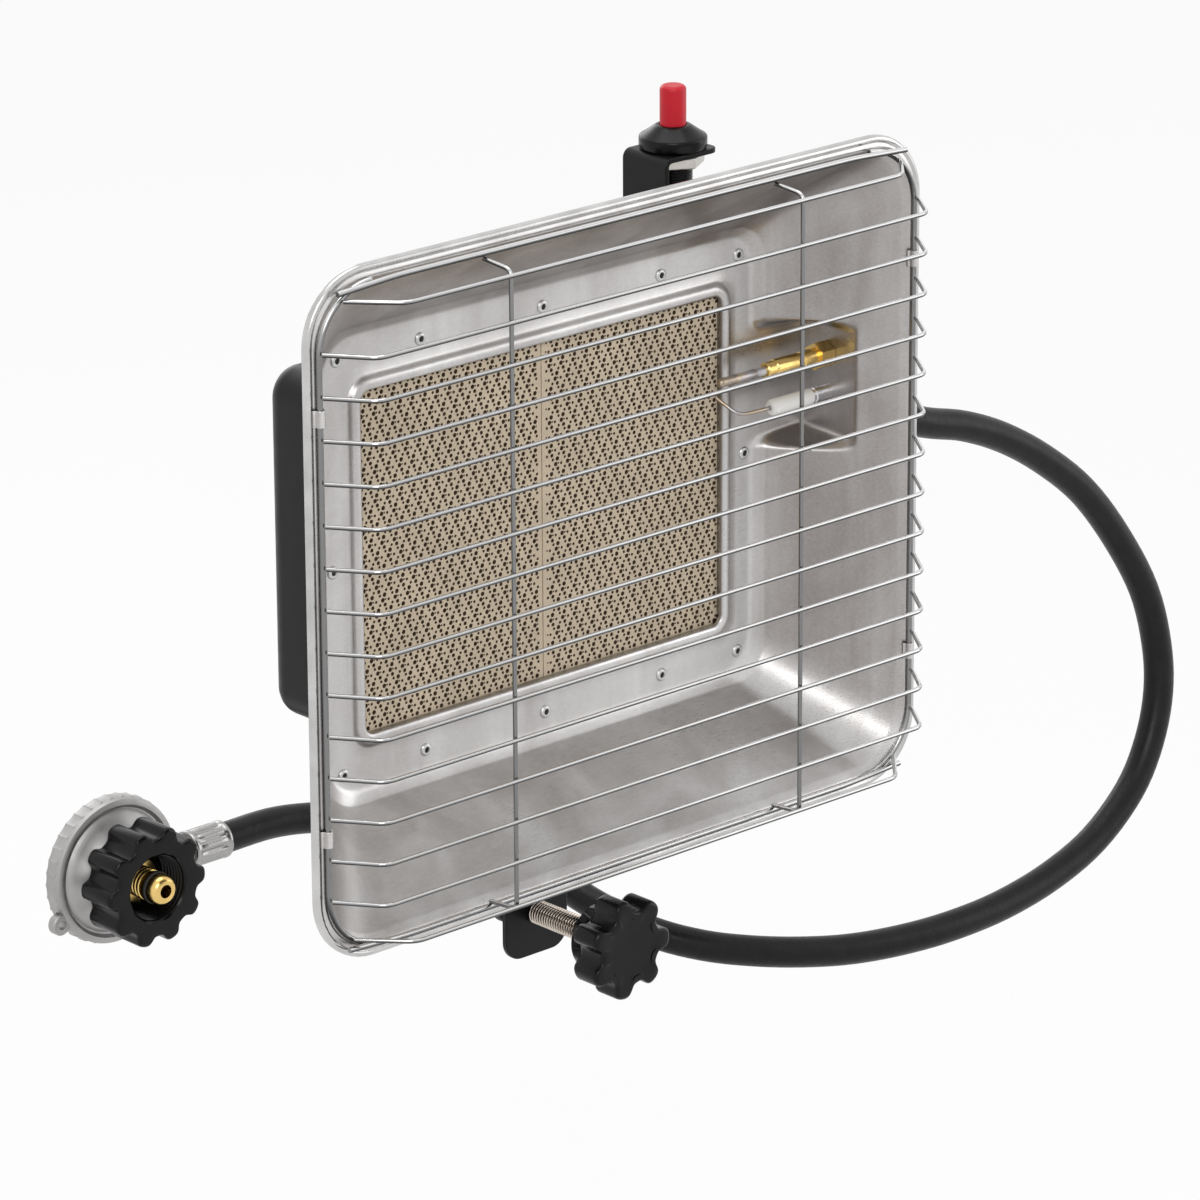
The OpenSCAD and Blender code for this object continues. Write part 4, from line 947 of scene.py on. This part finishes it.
def guard():
    bar, wire = size("bar"), size("wire")
    touch = (bar + wire) / 2 + CLEAR
    foot = SIDE_Y - touch
    leg = SIDE_X - CORNER + math.sqrt(CORNER ** 2 - (END_Z - CROSS_Z + CORNER) ** 2)
    # Each bar's end, its bend and its height
    rows = [(SIDE_X, BEND_X, (k - (BARS - 1) / 2) * PITCH) for k in range(BARS)]
    rows += [(leg, END_X, -END_Z), (leg, END_X, END_Z)]
    wires("guard_bar_wires",
          [eased([(-end, foot, z), (-bend, -REACH, z), (bend, -REACH, z), (end, foot, z)],
                 BAR_BEND)
           for end, bend, z in rows], bar, replaces=("guard_bars",))
    up_y, bend, end = bar + CLEAR - REACH, CROSS_Z - UPRIGHT_BEND, CROSS_Z - touch
    wires("guard_upright_wires",
          [eased([(x, CROSS_Y, -end), (x, up_y, -bend), (x, up_y, bend), (x, CROSS_Y, end)],
                 UPRIGHT_BEND)
           for x in (-UPRIGHT_X, UPRIGHT_X)], bar, replaces=("guard_uprights",))
    upper = arc(SIDE_X - CORNER, CROSS_Z - CORNER, CORNER, 90, 0, 14)
    wires("guard_side_hoops",
          [[(s * x, SIDE_Y, z) for x, z in upper] + [(s * x, SIDE_Y, -z) for x, z in upper[::-1]]
           for s in (-1, 1)], wire, replaces=("guard_side_wires",))
    tip_x, tip_z, straight = SIDE_X - 9, CROSS_Z - 2, 143
    wires("guard_long_wires",
          [eased([(-tip_x, CROSS_Y, s * tip_z), (-straight, CROSS_Y, s * CROSS_Z),
                  (straight, CROSS_Y, s * CROSS_Z), (tip_x, CROSS_Y, s * tip_z)],
                 CROSS_BEND)
           for s in (-1, 1)], wire, replaces=("guard_cross_wires",))


# ---------------- igniter

IGNITER = (100.5, 75.4)   # its axis, across and back


def igniter():
    x, y = IGNITER
    front, back, foot, top, thick, bend = FLANGE_BACK, 90.4, 96.0, 156.0, 2.5, 4.5
    leg = [(81.5, foot)] + arc(86, top - bend, bend, 180, 90, 8) + [(95, top), (95, top - thick)]
    leg += arc(86, top - bend, bend - thick, 90, 180, 6) + [(84, foot)]
    shelf = [(94.9, front)] + arc(112, front + 5, 5, -90, 0, 6) + arc(112, back - 5, 5, 0, 90, 6)
    tab = arc(65, 99, 3, 180, 270, 5) + [(84, 96), (84, 120)] + arc(65, 117, 3, 90, 180, 5)
    plate = Shape().slab(leg, 1, front, back).slab(shelf + [(94.9, back)], 2, top - thick, top)
    plate.slab(tab, 1, front, front + thick)
    plate.done("igniter_plate", "black_enamel", bevel=0.35, replaces=("igniter_bracket",))

    bezel = [(9.7, 0), (9.7, 2.4), (6.9, 2.6), (6.85, 11.6), (7.6, 11.6), (8.6, 11.3),
             (9.6, 10.6), (14.9, 6.9), (15.9, 6.4), (16.3, 6.0), (16.5, 5.4), (16.5, 1.4),
             (16.1, 0.6), (15.2, 0.1), (9.7, 0)]
    Shape().turned(bezel, (x, y, top), UPWARD, 72).done(
        "igniter_bezel_ring", "black_plastic", sharp=30, replaces=("igniter_bezel",))

    r, low, shoulder, round_off = size("button") / 2, 148, 184.6, 2.2
    button = [(0, low), (r, low)] + arc(r - round_off, shoulder, round_off, 0, 90, 6)
    Shape().turned(button + [(2.5, 186.75), (0, 186.7)], (x, y, 0), UPWARD, 56).done(
        "igniter_button_cap", "red_plastic", "igniter_button", sharp=40,
        replaces=("igniter_button",))
    Shape().slab(hexagon(27, x, y), 2, 148.1, 153.4).done(
        "igniter_ring_nut", "zinc_nut", bevel=0.7, segments=3, replaces=("igniter_nut",))

    barrel = [(0, 112), (6.5, 112), (8.2, 112.4), (9.2, 113.4), (9.2, 119.6)]
    for z in (120.5 + k * 1.5 for k in range(22)):
        barrel += [(9.5, z), (9.5, z + 0.3), (9.0, z + 0.75), (9.0, z + 1.0)]
    barrel += [(9.5, 155), (9.5, 157.9), (6.9, 157.9), (6.9, 130), (0, 130)]
    Shape().turned(barrel, (x, y, 0), UPWARD, 48).done(
        "igniter_barrel", "black_plastic", sharp=25, replaces=("igniter_body",))
    coil("igniter_spring")


def sensor():
    """The thermocouple, the electrode and their leads in the side pocket."""
    y, z, spark_z = 40.0, 46.5, 27
    sleeve = [(2.35, 127.6), (3.4, 127.6), (3.9, 128.2), (3.9, 133.0), (4.5, 133.8),
              (4.5, 149.5), (3.8, 150.0), (3.8, 151.6), (4.5, 152.1), (4.5, 161.0), (4.5, 177.2),
              (0, 177.2)]
    Shape().turned(sleeve, (0, y, z), RIGHTWARD, 40).slab(hexagon(12, y, z), 0, 161, 169.8).done(
        "sensor_sleeve", "brass", replaces=("thermocouple_sleeve",))
    r, groove = 2.3, 2.3 * 0.86
    probe = arc(0, 99, r, -90, 0, 8) + [(r, 112), (r, 120.5), (groove, 121.2), (groove, 122.2),
                                        (r, 122.9), (r, 128)]
    Shape().turned(probe, (0, y, z), RIGHTWARD, 32).done(
        "sensor_probe", "probe_steel", replaces=("thermocouple_probe",))
    path = eased([(186, y, spark_z), (125, y, spark_z), (112, y + 1.5, spark_z),
                  (107, y + 12, 34.5)], 5, 8)
    Shape().tube(path, 0.9, 12).done("spark_wire", "probe_steel", replaces=("electrode_wire",))
    glazed = [(1.1, 131.2), (2.6, 131.0), (3.5, 131.6), (4.0, 132.8), (4.0, 158)]
    bush = [(4.0, 158), (4.0, 158.4), (3.5, 158.8), (3.5, 160.0), (4.0, 160.4), (4.0, 169.0),
            (4.0, 181.0), (3.4, 182.0), (1.1, 182.0)]
    white = Shape()
    for slot, profile in enumerate((glazed, bush)):
        white.turned(profile, (0, y, spark_z), RIGHTWARD, 36, slot=slot)
    white.done("spark_insulator", ("white_ceramic", "spring_steel"), sharp=40,
               replaces=("electrode_ceramic",))
    broken_edges("electrode_clip", "plated_steel", 0.2)
    broken_edges("thermocouple_locknut", "brass", 0.4)
    wires("sensor_lead", [flowing(eased([(177.2, 40, 46.5), (195.2, 40, 46.5), (197, 60, 20),
                                         (197, 70, -38), (195, 78, -62), (183, 88, -66),
                                         (183, 88, -38)], 7, 4), 2)],
          2.6, finish="copper", replaces=("thermocouple_lead",))
    wires("spark_lead", [flowing(eased([(186, 40, 27), (192, 40, 27), (186, 66, 60.5),
                                        (145, 75.4, 96), (112.5, 75.4, 99), (100.5, 75.4, 99),
                                        (100.5, 75.4, 112)], 8, 4), 2)],
          3.0, finish="lead_sleeve", replaces=("ignition_lead",))


# ---------------- gas train

def gas_train():
    for node, finish in (("tile_gasket", "fibre"), ("tile_retainer", "plated_steel")):
        dress(node, finish)
    coil("valve_spring")
    for node, finish, bevel in (("mixer_tube", "plated_steel", 0.2),
                                ("mixer_bracket", "plated_steel", 0.4),
                                ("gas_jet", "brass", 0.2), ("valve_locknut", "zinc_nut", 0.4),
                                ("hose_inlet", "brass", 0.4), ("arm_nuts", "zinc_nut", 0.3)):
        broken_edges(node, finish, bevel)
    x, y, z = 183.0, 88.0, -12.0
    across = [(0, 155), (5.4, 155), (6, 155.6), (6, 168.2), (10.6, 168.2), (12, 169.4),
              (12, 172), (11.2, 172.6), (11.2, 193.4), (12, 194), (12, 196.8), (10.6, 198),
              (0, 198)]
    upright = [(0, -38), (7.8, -38), (9, -37), (9, -30), (8.2, -29), (8.2, 6), (9, 7), (9, 13),
               (8.2, 14), (2.6, 14), (2.6, -10), (0, -10)]
    body = Shape().turned(across, (0, y, z), RIGHTWARD, 48).turned(upright, (x, y, 0), UPWARD, 40)
    body.done("valve_casting", "valve_casting", replaces=("valve_body",))
    push = [(0, 8), (2.5, 8), (2.5, 22), (6.6, 22), (7.5, 22.8), (7.5, 28.6), (6.9, 29.6),
            (5.6, 30.0), (0, 29.7)]
    Shape().turned(push, (x, y, 0), UPWARD, 40).done(
        "valve_push_cap", "black_plastic", "valve_push", replaces=("valve_push",))


# ---------------- clamp

# The screw's height, and where its thread and the knob's face lie along it
SCREW_Z, PAD_Y, KNOB_Y = -14, -11, -94


def clamp_plates():
    """The saddle that hooks over the collar, and the arm that carries the burner box."""
    thick, half = 3.0, 20.0
    bend = [(-26, -8)] + arc(-21, -2, 5, 180, 90, 6) + arc(21, -2, 5, 90, 0, 6)
    bend += [(26, -8), (23, -8), (23, -2)] + arc(21, -2, 2, 0, 90, 4)
    saddle = Shape(part).slab(bend + arc(-21, -2, 2, 90, 180, 4) + [(-23, -8)], 0, -half, half)
    for y, drop in ((-26, 36), (23, 33)):
        leg = [(-half, -7.9)] + arc(-10, -drop + 10, 10, 180, 270, 10)
        leg += arc(10, -drop + 10, 10, 270, 360, 10) + [(half, -7.9)]
        saddle.slab(leg, 1, y, y + thick)
    saddle.done("clamp_plate", "black_enamel", bevel=0.5, replaces=("clamp_saddle",))

    arm = [(-6, 3), (-6, 6)] + arc(18, 11, 5, 270, 360, 6) + [(23, 158), (26, 158)]
    Shape(part).slab(arm + arc(20, 9, 6, 360, 270, 6), 0, -half, half).done(
        "arm_plate", "black_enamel", bevel=0.5, replaces=("support_arm",))


def clamp_pad():
    pad = Shape(part)
    for profile in ([(4.05, -10), (10.2, -10), (11, -9.4), (11, -4.6), (10.6, -3.2), (9.6, -2.0),
                     (0, -2.0)], [(4.05, -10), (4.05, -5), (0, -5)]):
        pad.turned(profile, (0, 0, SCREW_Z), REARWARD, 48)
    pad.done("clamp_pad_disc", "rubber", "clamp_pad", replaces=("clamp_pad",))


def clamp_screw():
    """One turn of thread for each pitch, its roots painted dark as painted shade, and a neck that
    holds the pad.
    """
    screw = Shape(part)
    pitch, sides, rows, root, depth, painted_shade_radius = 1.75, 28, 10, 4.6, 1.4, 5.3
    start = -77.0
    rings = []
    for i in range(int((PAD_Y - start) / pitch * rows) + 1):
        h = start + i * pitch / rows
        ring = []
        for k in range(sides):
            a = 2 * math.pi * k / sides
            wave = abs(((h / pitch - k / sides) % 1) * 2 - 1)
            r = root + depth * min(1, max(0, wave * 1.5 - 0.35))
            ring.append((r * math.cos(a), h, SCREW_Z + r * math.sin(a)))
        rings.append(ring)
    screw.skin(rings, ends=True)
    # Faces nearer the axis than the shade radius take the dark thread_root finish: painted shade in
    # the thread's roots.
    for k, face in enumerate(screw.faces):
        spans = [math.hypot(screw.points[v][0], screw.points[v][2] - SCREW_Z) for v in face]
        screw.slots[k] = int(sum(spans) / len(spans) < painted_shade_radius)
    screw.turned([(0, -11), (4.9, -11), (4.9, -10.4), (4.0, -10.1), (4.0, -6.0), (3.2, -5.1),
                  (0, -5.1)], (0, 0, SCREW_Z), REARWARD, 36)
    screw.done("clamp_thread", ("screw_steel", "thread_root"), "clamp_screw", sharp=50, merge=0,
               replaces=("clamp_screw",))


def clamp_knob():
    tip, lobe_count, thick, round_off, hub, deep = size("knob") / 2, 7, 17, 2.6, 17, 6.5

    def lobes(r, a):
        return star(r, a, lobe_count, deep * r / tip) if r > hub else r

    rim = arc(tip - round_off, round_off, round_off, -90, 0, 6)
    knob = [(0, 0.5), (12, 0.5), (16, 0.35), (19.5, 0.0)] + rim + [(tip, thick / 2)]
    knob += [(r, thick - h) for r, h in reversed(rim)]
    knob += [(17.5, 17), (17.5, 18.2), (17.2, 22), (16.6, 25.2), (15.6, 26), (6.1, 26),
             (6.1, 17.2), (0, 17.2)]
    Shape(part).turned(knob, (0, KNOB_Y, SCREW_Z), REARWARD, lobe_count * 28, wave=lobes).done(
        "clamp_star_knob", "black_plastic", "clamp_screw", merge=0.002,
        replaces=("clamp_knob",))


def clamp():
    clamp_plates()
    broken_edges("arm_screws", "spring_steel", 0.5)
    broken_edges("weld_nut", "plated_steel", 0.5)
    clamp_pad()
    clamp_screw()
    clamp_knob()


# ---------------- hose and regulator

HOSE_ROUTE = [
    (214, -3.2, 180), (233, -3.2, 180), (262, -4, 175), (290, -4, 166), (315, -4, 159),
    (343, -4, 147), (373, -4, 129), (403, -5, 105), (429, -6, 74), (449.4, -8, 40),
    (458.2, -10, 8), (457.2, -13, -18), (447.6, -16, -43), (430, -19, -65), (400, -22, -84),
    (365, -24, -95), (327, -25, -100.8), (290, -24, -102.6), (258, -20, -102.6), (227, -14, -100.8),
    (199, -6, -97), (173, 4, -92), (150, 16, -86), (132, 34, -79), (122, 62, -71),
    (118, 95, -63), (108, 130, -55), (88, 162, -47), (62, 183, -40), (38, 190, -36),
    (13, 192, -33), (-16, 192, -33), (-35, 192, -33),
]
REGULATOR = (-85.0, 196.0, -33.0)


def hose():
    """The hose; its uv map unrolls the cover for the weave."""
    path = flowing(HOSE_ROUTE, 5)
    around, ply_step, ply_turns = 24, 2.2, 22
    shape = Shape(part).tube(path, size("hose") / 2, around)
    piece = shape.done("gas_hose", "hose_rubber", sharp=60, merge=0, replaces=("hose",))
    run = [0.0]
    for a, b in zip(path, path[1:]):
        run.append(run[-1] + (b - a).length)
    layer = piece.data.uv_layers.new(name="Ply")
    for face in piece.data.polygons:
        for loop_index, v in zip(face.loop_indices, face.vertices):
            turn = (v % around) / around
            if turn == 0 and any(w % around == around - 1 for w in face.vertices):
                turn = 1.0
            layer.data[loop_index].uv = (run[v // around] / ply_step, turn * ply_turns)
    return piece, path, run[-1]


def ferrule(name, x, y, z, node):
    """A crimped ferrule: rolled ends and ten pressed flutes."""
    flutes, deep = 10, 1.25

    def pressed(radius, a):
        if radius < 0:
            return -radius - deep * (0.5 + 0.5 * math.cos(flutes * a)) ** 2
        return radius

    profile = [(8.15, 0), (9.2, 0), (9.8, 0.7), (9.8, 2.2), (9.3, 3.2), (-9.7, 4.2), (-9.7, 8),
               (-9.7, 16), (-9.7, 19.6), (9.3, 20.8), (9.8, 21.8), (9.8, 23.3), (9.2, 24),
               (8.15, 24), (8.15, 0)]
    return Shape(part).turned(profile, (x, y, z), RIGHTWARD, flutes * 12, wave=pressed).done(
        name, "plated_steel", sharp=60, merge=0.002, replaces=(node,))


def regulator_casting(x, y, z, front):
    body = Shape(part)
    body.turned([(0, -3), (33, -3), (38, -3), (38, 1.7), (37.4, 2.7), (36.2, 3.2),
                 (34.6, 3.25), (33.9, 2.5), (33.0, 1.6), (32.0, 1.6), (31.2, 2.3), (30.2, 3.2),
                 (28.4, 3.9), (24.5, 6.6), (21.6, 9.4), (20.4, 10.6), (19.4, 11.0), (0, 11.0)],
                (x, y, z), front, 96)
    out, lug = 40.6, math.radians(209)
    body.turned([(2.3, -2.6), (5.0, -2.6), (5.5, -2.0), (5.5, 2.0), (5.0, 2.6), (2.3, 2.6),
                 (2.3, -2.6)], (x + out * math.cos(lug), y, z + out * math.sin(lug)), front, 28)
    high, low, steps, around = 10.7, -2.8, 8, 28
    middle, tall = (high + low) / 2, (high - low) / 2
    spout = []
    for s in (k / steps for k in range(steps + 1)):
        half, square = 19 * (1 - s) + 7.5 * s, 0.35 * (1 - s)
        spout.append([(x + 6 + 32.6 * s,
                       y - middle - tall * math.sin(a) * (1 - square * abs(math.cos(a))),
                       z + half * math.cos(a))
                      for a in (2 * math.pi * j / around for j in range(around))])
    body.skin(spout, ends=True)
    body.turned([(0, 36), (6.9, 36), (7.0, 39.1), (8.3, 39.4), (8.5, 40.2), (8.5, 41.6),
                 (8.2, 42), (8, 42.2), (8, 50), (0, 50)], (x, y - 4, z), RIGHTWARD, 40)
    return body.done("regulator_casting", "reg_casting", merge=0.002,
                     replaces=("regulator_body",))


def lid(place):
    """The rear cover; a radius below zero is crimped by the wave."""
    teeth, deep = 18, 0.6

    def crimp(radius, a):
        return radius if radius > 0 else -radius - deep * abs(math.sin(teeth * a)) ** 0.6

    profile = [(0, -15), (14, -14.8), (19.5, -14.4), (21, -13.6), (26, -10.8), (31, -8.2),
               (36.2, -7.0), (-38.4, -6.6), (-38.8, -5.8), (-38.8, -3.0), (-38.7, -1.0),
               (-38.5, 0.2), (37.2, 0.7), (36.9, 0.2), (38.0, -2.9), (0, -3.0)]
    return Shape(part).turned(profile, *place, teeth * 24, wave=crimp).done(
        "regulator_lid", "reg_casting", merge=0.002, replaces=("regulator_cover",))


def spigot(place):
    thread = []
    for h in (20.6 + k * 2.4 for k in range(4)):
        thread += [(8.0, h), (8.0, h + 0.9), (7.5, h + 1.2), (7.5, h + 2.1)]
    profile = [(8, 11), (8, 16.6), (11.4, 16.6), (12, 17.2), (12, 19), (11.4, 19.6), (8, 19.8)]
    profile += thread + [(8, 31.2), (8, 32.2), (6, 32.3), (6, 34.9), (8, 34.9), (8, 37.3),
                         (7.2, 39.4), (6.2, 40.9), (5.6, 41.2), (3.5, 41.2), (3.5, 11), (8, 11)]
    return Shape(part).turned(profile, *place, 56).done("inlet_spigot", "brass",
                                                        replaces=("inlet_nipple",))


def hand_nut(place):
    tip, lobe_count, round_off, low, high = size("nut") / 2, 10, 2.2, 11.3, 35.3

    def lobes(r, a):
        return star(r, a, lobe_count, 5 * (r - 17) / (tip - 17)) if r > 17.6 else r

    edge = arc(tip - round_off, round_off, round_off, -90, 0, 6)
    profile = [(8.05, low), (20, low)] + [(r, low + h) for r, h in edge]
    profile += [(tip, (low + high) / 2)] + [(r, high - h) for r, h in reversed(edge)]
    profile += [(22.5, high), (18.4, high), (17.2, high - 0.9)]
    for h in (high - 1.4 - k * 2.4 for k in range(7)):
        profile += [(16.9, h), (16.9, h - 0.7), (16.2, h - 1.2), (16.2, h - 1.9)]
    profile += [(16.9, low + 5.3), (8.05, low + 5), (8.05, low)]
    return Shape(part).turned(profile, *place, lobe_count * 22, wave=lobes).done(
        "lobed_hand_nut", "black_plastic", "hand_nut", merge=0.002, replaces=("hand_nut",))


def regulator():
    front = (0, -1, 0)
    place = (REGULATOR, front)
    made = [regulator_casting(*REGULATOR, front), lid(place), spigot(place), hand_nut(place)]
    for node, finish in (("regulator_diaphragm", "rubber"), ("regulator_spring", "spring_steel"),
                         ("nipple_seal", "rubber")):
        dress(node, finish)
        made.append(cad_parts[node])
    return made


def hose_set():
    piece, path, total = hose()
    made = [ferrule("hose_ferrule_inlet", 207, -3.2, 180, "inlet_ferrule"),
            ferrule("hose_ferrule_regulator", -42, 192, -33, "regulator_ferrule")]
    made += regulator()
    round(total * MM, 3)
    size("hose") * MM
    [tuple(p * MM) for p in path]


# ---------------- stage

# The camera that was fitted to the guard's bars: degrees, millimetres and pixels
CAMERA_TURN, CAMERA_RISE, CAMERA_ROLL = -42.5957, 19.1078, -0.2551
CAMERA_AWAY, CAMERA_LEFT, CAMERA_LOWER = 3021.9126, 12.726, 28.2776
FOCAL_PIXELS, PHOTO_PIXELS, SENSOR = 6466.7288, 1200, 36
# The floor in metres, how white it is to the camera, and the world's two strengths
FLOOR_REACH, FLOOR_LEVEL, FLOOR_SEEN = 6.0, -0.46, 0.88
WORLD_LIGHT, WORLD_SEEN = 0.6, 1.0


def photo_camera():
    turn, rise, roll = (math.radians(a) for a in (CAMERA_TURN, CAMERA_RISE, CAMERA_ROLL))
    back = Vector((math.sin(turn) * math.cos(rise), -math.cos(turn) * math.cos(rise),
                   math.sin(rise)))
    level = Vector((math.cos(turn), math.sin(turn), 0))
    upright = back.cross(level)
    right = level * math.cos(roll) + upright * math.sin(roll)
    up = upright * math.cos(roll) - level * math.sin(roll)
    data = bpy.data.cameras.new("photo_camera")
    data.sensor_width = SENSOR
    data.lens = FOCAL_PIXELS / PHOTO_PIXELS * data.sensor_width
    camera = bpy.data.objects.new("photo_camera", data)
    bpy.context.scene.collection.objects.link(camera)
    camera.matrix_world = Matrix((right, up, back)).transposed().to_4x4()
    camera.location = (back * CAMERA_AWAY - right * CAMERA_LEFT - up * CAMERA_LOWER + HEAD) * MM
    bpy.context.scene.camera = camera


def lamp(name, where, target, width, height, watts):
    data = bpy.data.lights.new(name, "AREA")
    data.shape = "RECTANGLE"
    data.size, data.size_y, data.energy = width, height, watts
    light = bpy.data.objects.new(name, data)
    light.location = where
    light.rotation_euler = (Vector(target) - Vector(where)).to_track_quat("-Z", "Y").to_euler()
    bpy.context.scene.collection.objects.link(light)


def seen_directly(tree):
    """1 for the camera's rays and for those in gloss and through glass, otherwise 0."""
    rays = tree.nodes.new("ShaderNodeLightPath").outputs
    seen = rays["Is Camera Ray"]
    for ray in ("Is Glossy Ray", "Is Transmission Ray"):
        step = tree.nodes.new("ShaderNodeMath")
        step.operation = "MAXIMUM"
        tree.links.new(seen, step.inputs[0])
        tree.links.new(rays[ray], step.inputs[1])
        seen = step.outputs[0]
    return seen


def studio_floor():
    """A pale floor, nearly white where seen_directly holds, that keeps the shadow."""
    made = Finish("Studio floor", (0.9, 0.9, 0.9), 0.0, 0.9)
    made.varied(3.0, 0.01, 0.88, 0.95)
    seen = Signal(made, seen_directly(made.tree)) * FLOOR_SEEN
    glow = made.node("ShaderNodeEmission", {}, {"Color": (1, 1, 1, 1), "Strength": 1.0})
    plain_floor = Signal(made, made.shader.outputs[0])
    mixed = made.node("ShaderNodeMixShader", {}, {0: seen, 1: plain_floor, 2: glow})
    made.tree.links.new(mixed.socket, made.tree.nodes["Material Output"].inputs[0])
    return made.material


def stage():
    scene = bpy.context.scene
    scene.view_settings.view_transform = "Standard"
    world = bpy.data.worlds.new("Studio")
    scene.world = world
    world.use_nodes = True
    nodes, links = world.node_tree.nodes, world.node_tree.links
    back = nodes["Background"]
    back.inputs["Color"].default_value = (1, 1, 1, 1)
    level = nodes.new("ShaderNodeMapRange")
    level.inputs["To Min"].default_value = WORLD_LIGHT
    level.inputs["To Max"].default_value = WORLD_SEEN
    links.new(seen_directly(world.node_tree), level.inputs["Value"])
    links.new(level.outputs[0], back.inputs["Strength"])
    corners = [(-1, -1), (1, -1), (1, 1), (-1, 1)]
    floor = bpy.data.meshes.new("floor")
    floor.from_pydata([(x * FLOOR_REACH, y * FLOOR_REACH, FLOOR_LEVEL) for x, y in corners],
                      [], [(0, 1, 2, 3)])
    piece = bpy.data.objects.new("floor", floor)
    scene.collection.objects.link(piece)
    floor.materials.append(studio_floor())
    lamp("key", (-1.6, -1.9, 1.7), (0, -0.05, 0.15), 1.2, 1.2, 22)
    lamp("fill", (2.2, -1.5, 0.7), (0.05, 0, 0.1), 1.6, 1.8, 12)
    lamp("top", (0.1, 0.3, 2.3), (0, 0, 0.1), 1.8, 1.4, 14)
    lamp("rim", (0.6, 2.2, 1.0), (0, 0.05, 0.15), 1.6, 1.2, 9)


# ---------------- operators

class HEATER_OT_stage(bpy.types.Operator):
    """Adds the camera, the floor, the lamps and the world"""
    bl_idname = "heater.stage"
    bl_label = "Stage"

    def execute(self, context):
        photo_camera()
        stage()
        return {"FINISHED"}


class HEATER_OT_hose(bpy.types.Operator):
    """Adds the hose with its ferrules and the regulator"""
    bl_idname = "heater.hose"
    bl_label = "Hose and regulator"

    def execute(self, context):
        hose_set()
        return {"FINISHED"}


class HEATER_OT_reflector(bpy.types.Operator):
    """Adds the stamped reflector and its rivets"""
    bl_idname = "heater.reflector"
    bl_label = "Reflector"

    def execute(self, context):
        reflector()
        rivets()
        return {"FINISHED"}


class HEATER_OT_burner(bpy.types.Operator):
    """Adds the perforated tiles and the burner's shell"""
    bl_idname = "heater.burner"
    bl_label = "Burner"

    def execute(self, context):
        tiles()
        burner_shell()
        return {"FINISHED"}


class HEATER_OT_guard(bpy.types.Operator):
    """Adds the wire guard"""
    bl_idname = "heater.guard"
    bl_label = "Guard"

    def execute(self, context):
        guard()
        return {"FINISHED"}


class HEATER_OT_igniter(bpy.types.Operator):
    """Adds the push-button igniter on its bracket"""
    bl_idname = "heater.igniter"
    bl_label = "Igniter"

    def execute(self, context):
        igniter()
        return {"FINISHED"}


class HEATER_OT_sensor(bpy.types.Operator):
    """Adds the flame sensor, the electrode and their leads"""
    bl_idname = "heater.sensor"
    bl_label = "Flame sensor"

    def execute(self, context):
        sensor()
        return {"FINISHED"}


class HEATER_OT_gas_train(bpy.types.Operator):
    """Adds the mixer tube, the jet and the safety valve"""
    bl_idname = "heater.gas_train"
    bl_label = "Gas train"

    def execute(self, context):
        gas_train()
        return {"FINISHED"}


class HEATER_OT_clamp(bpy.types.Operator):
    """Adds the collar clamp with its screw and star knob"""
    bl_idname = "heater.clamp"
    bl_label = "Clamp"

    def execute(self, context):
        clamp()
        return {"FINISHED"}


STEPS = (HEATER_OT_stage, HEATER_OT_hose, HEATER_OT_reflector, HEATER_OT_burner,
         HEATER_OT_guard, HEATER_OT_igniter, HEATER_OT_sensor, HEATER_OT_gas_train,
         HEATER_OT_clamp)


class HEATER_PT_panel(bpy.types.Panel):
    """Lists the heater's sizes, colours and steps"""
    bl_idname = "HEATER_PT_panel"
    bl_label = "Propane heater"
    bl_space_type = "VIEW_3D"
    bl_region_type = "UI"
    bl_category = "Heater"

    def draw(self, context):
        for group in (context.scene.heater_sizes, context.scene.heater_colours):
            for name in group.__annotations__:
                self.layout.prop(group, name)
        for step in STEPS:
            self.layout.operator(step.bl_idname)


def register():
    for each in (HeaterSizes, HeaterColours, *STEPS, HEATER_PT_panel):
        bpy.utils.register_class(each)
    bpy.types.Scene.heater_sizes = bpy.props.PointerProperty(type=HeaterSizes)
    bpy.types.Scene.heater_colours = bpy.props.PointerProperty(type=HeaterColours)


def unregister():
    del bpy.types.Scene.heater_sizes
    del bpy.types.Scene.heater_colours
    for each in (HEATER_PT_panel, *reversed(STEPS), HeaterColours, HeaterSizes):
        bpy.utils.unregister_class(each)


def main():
    register()
    finish_all()
    for step in STEPS:
        group, name = step.bl_idname.split(".")
        getattr(getattr(bpy.ops, group), name)()


if __name__ == "__main__":
    main()
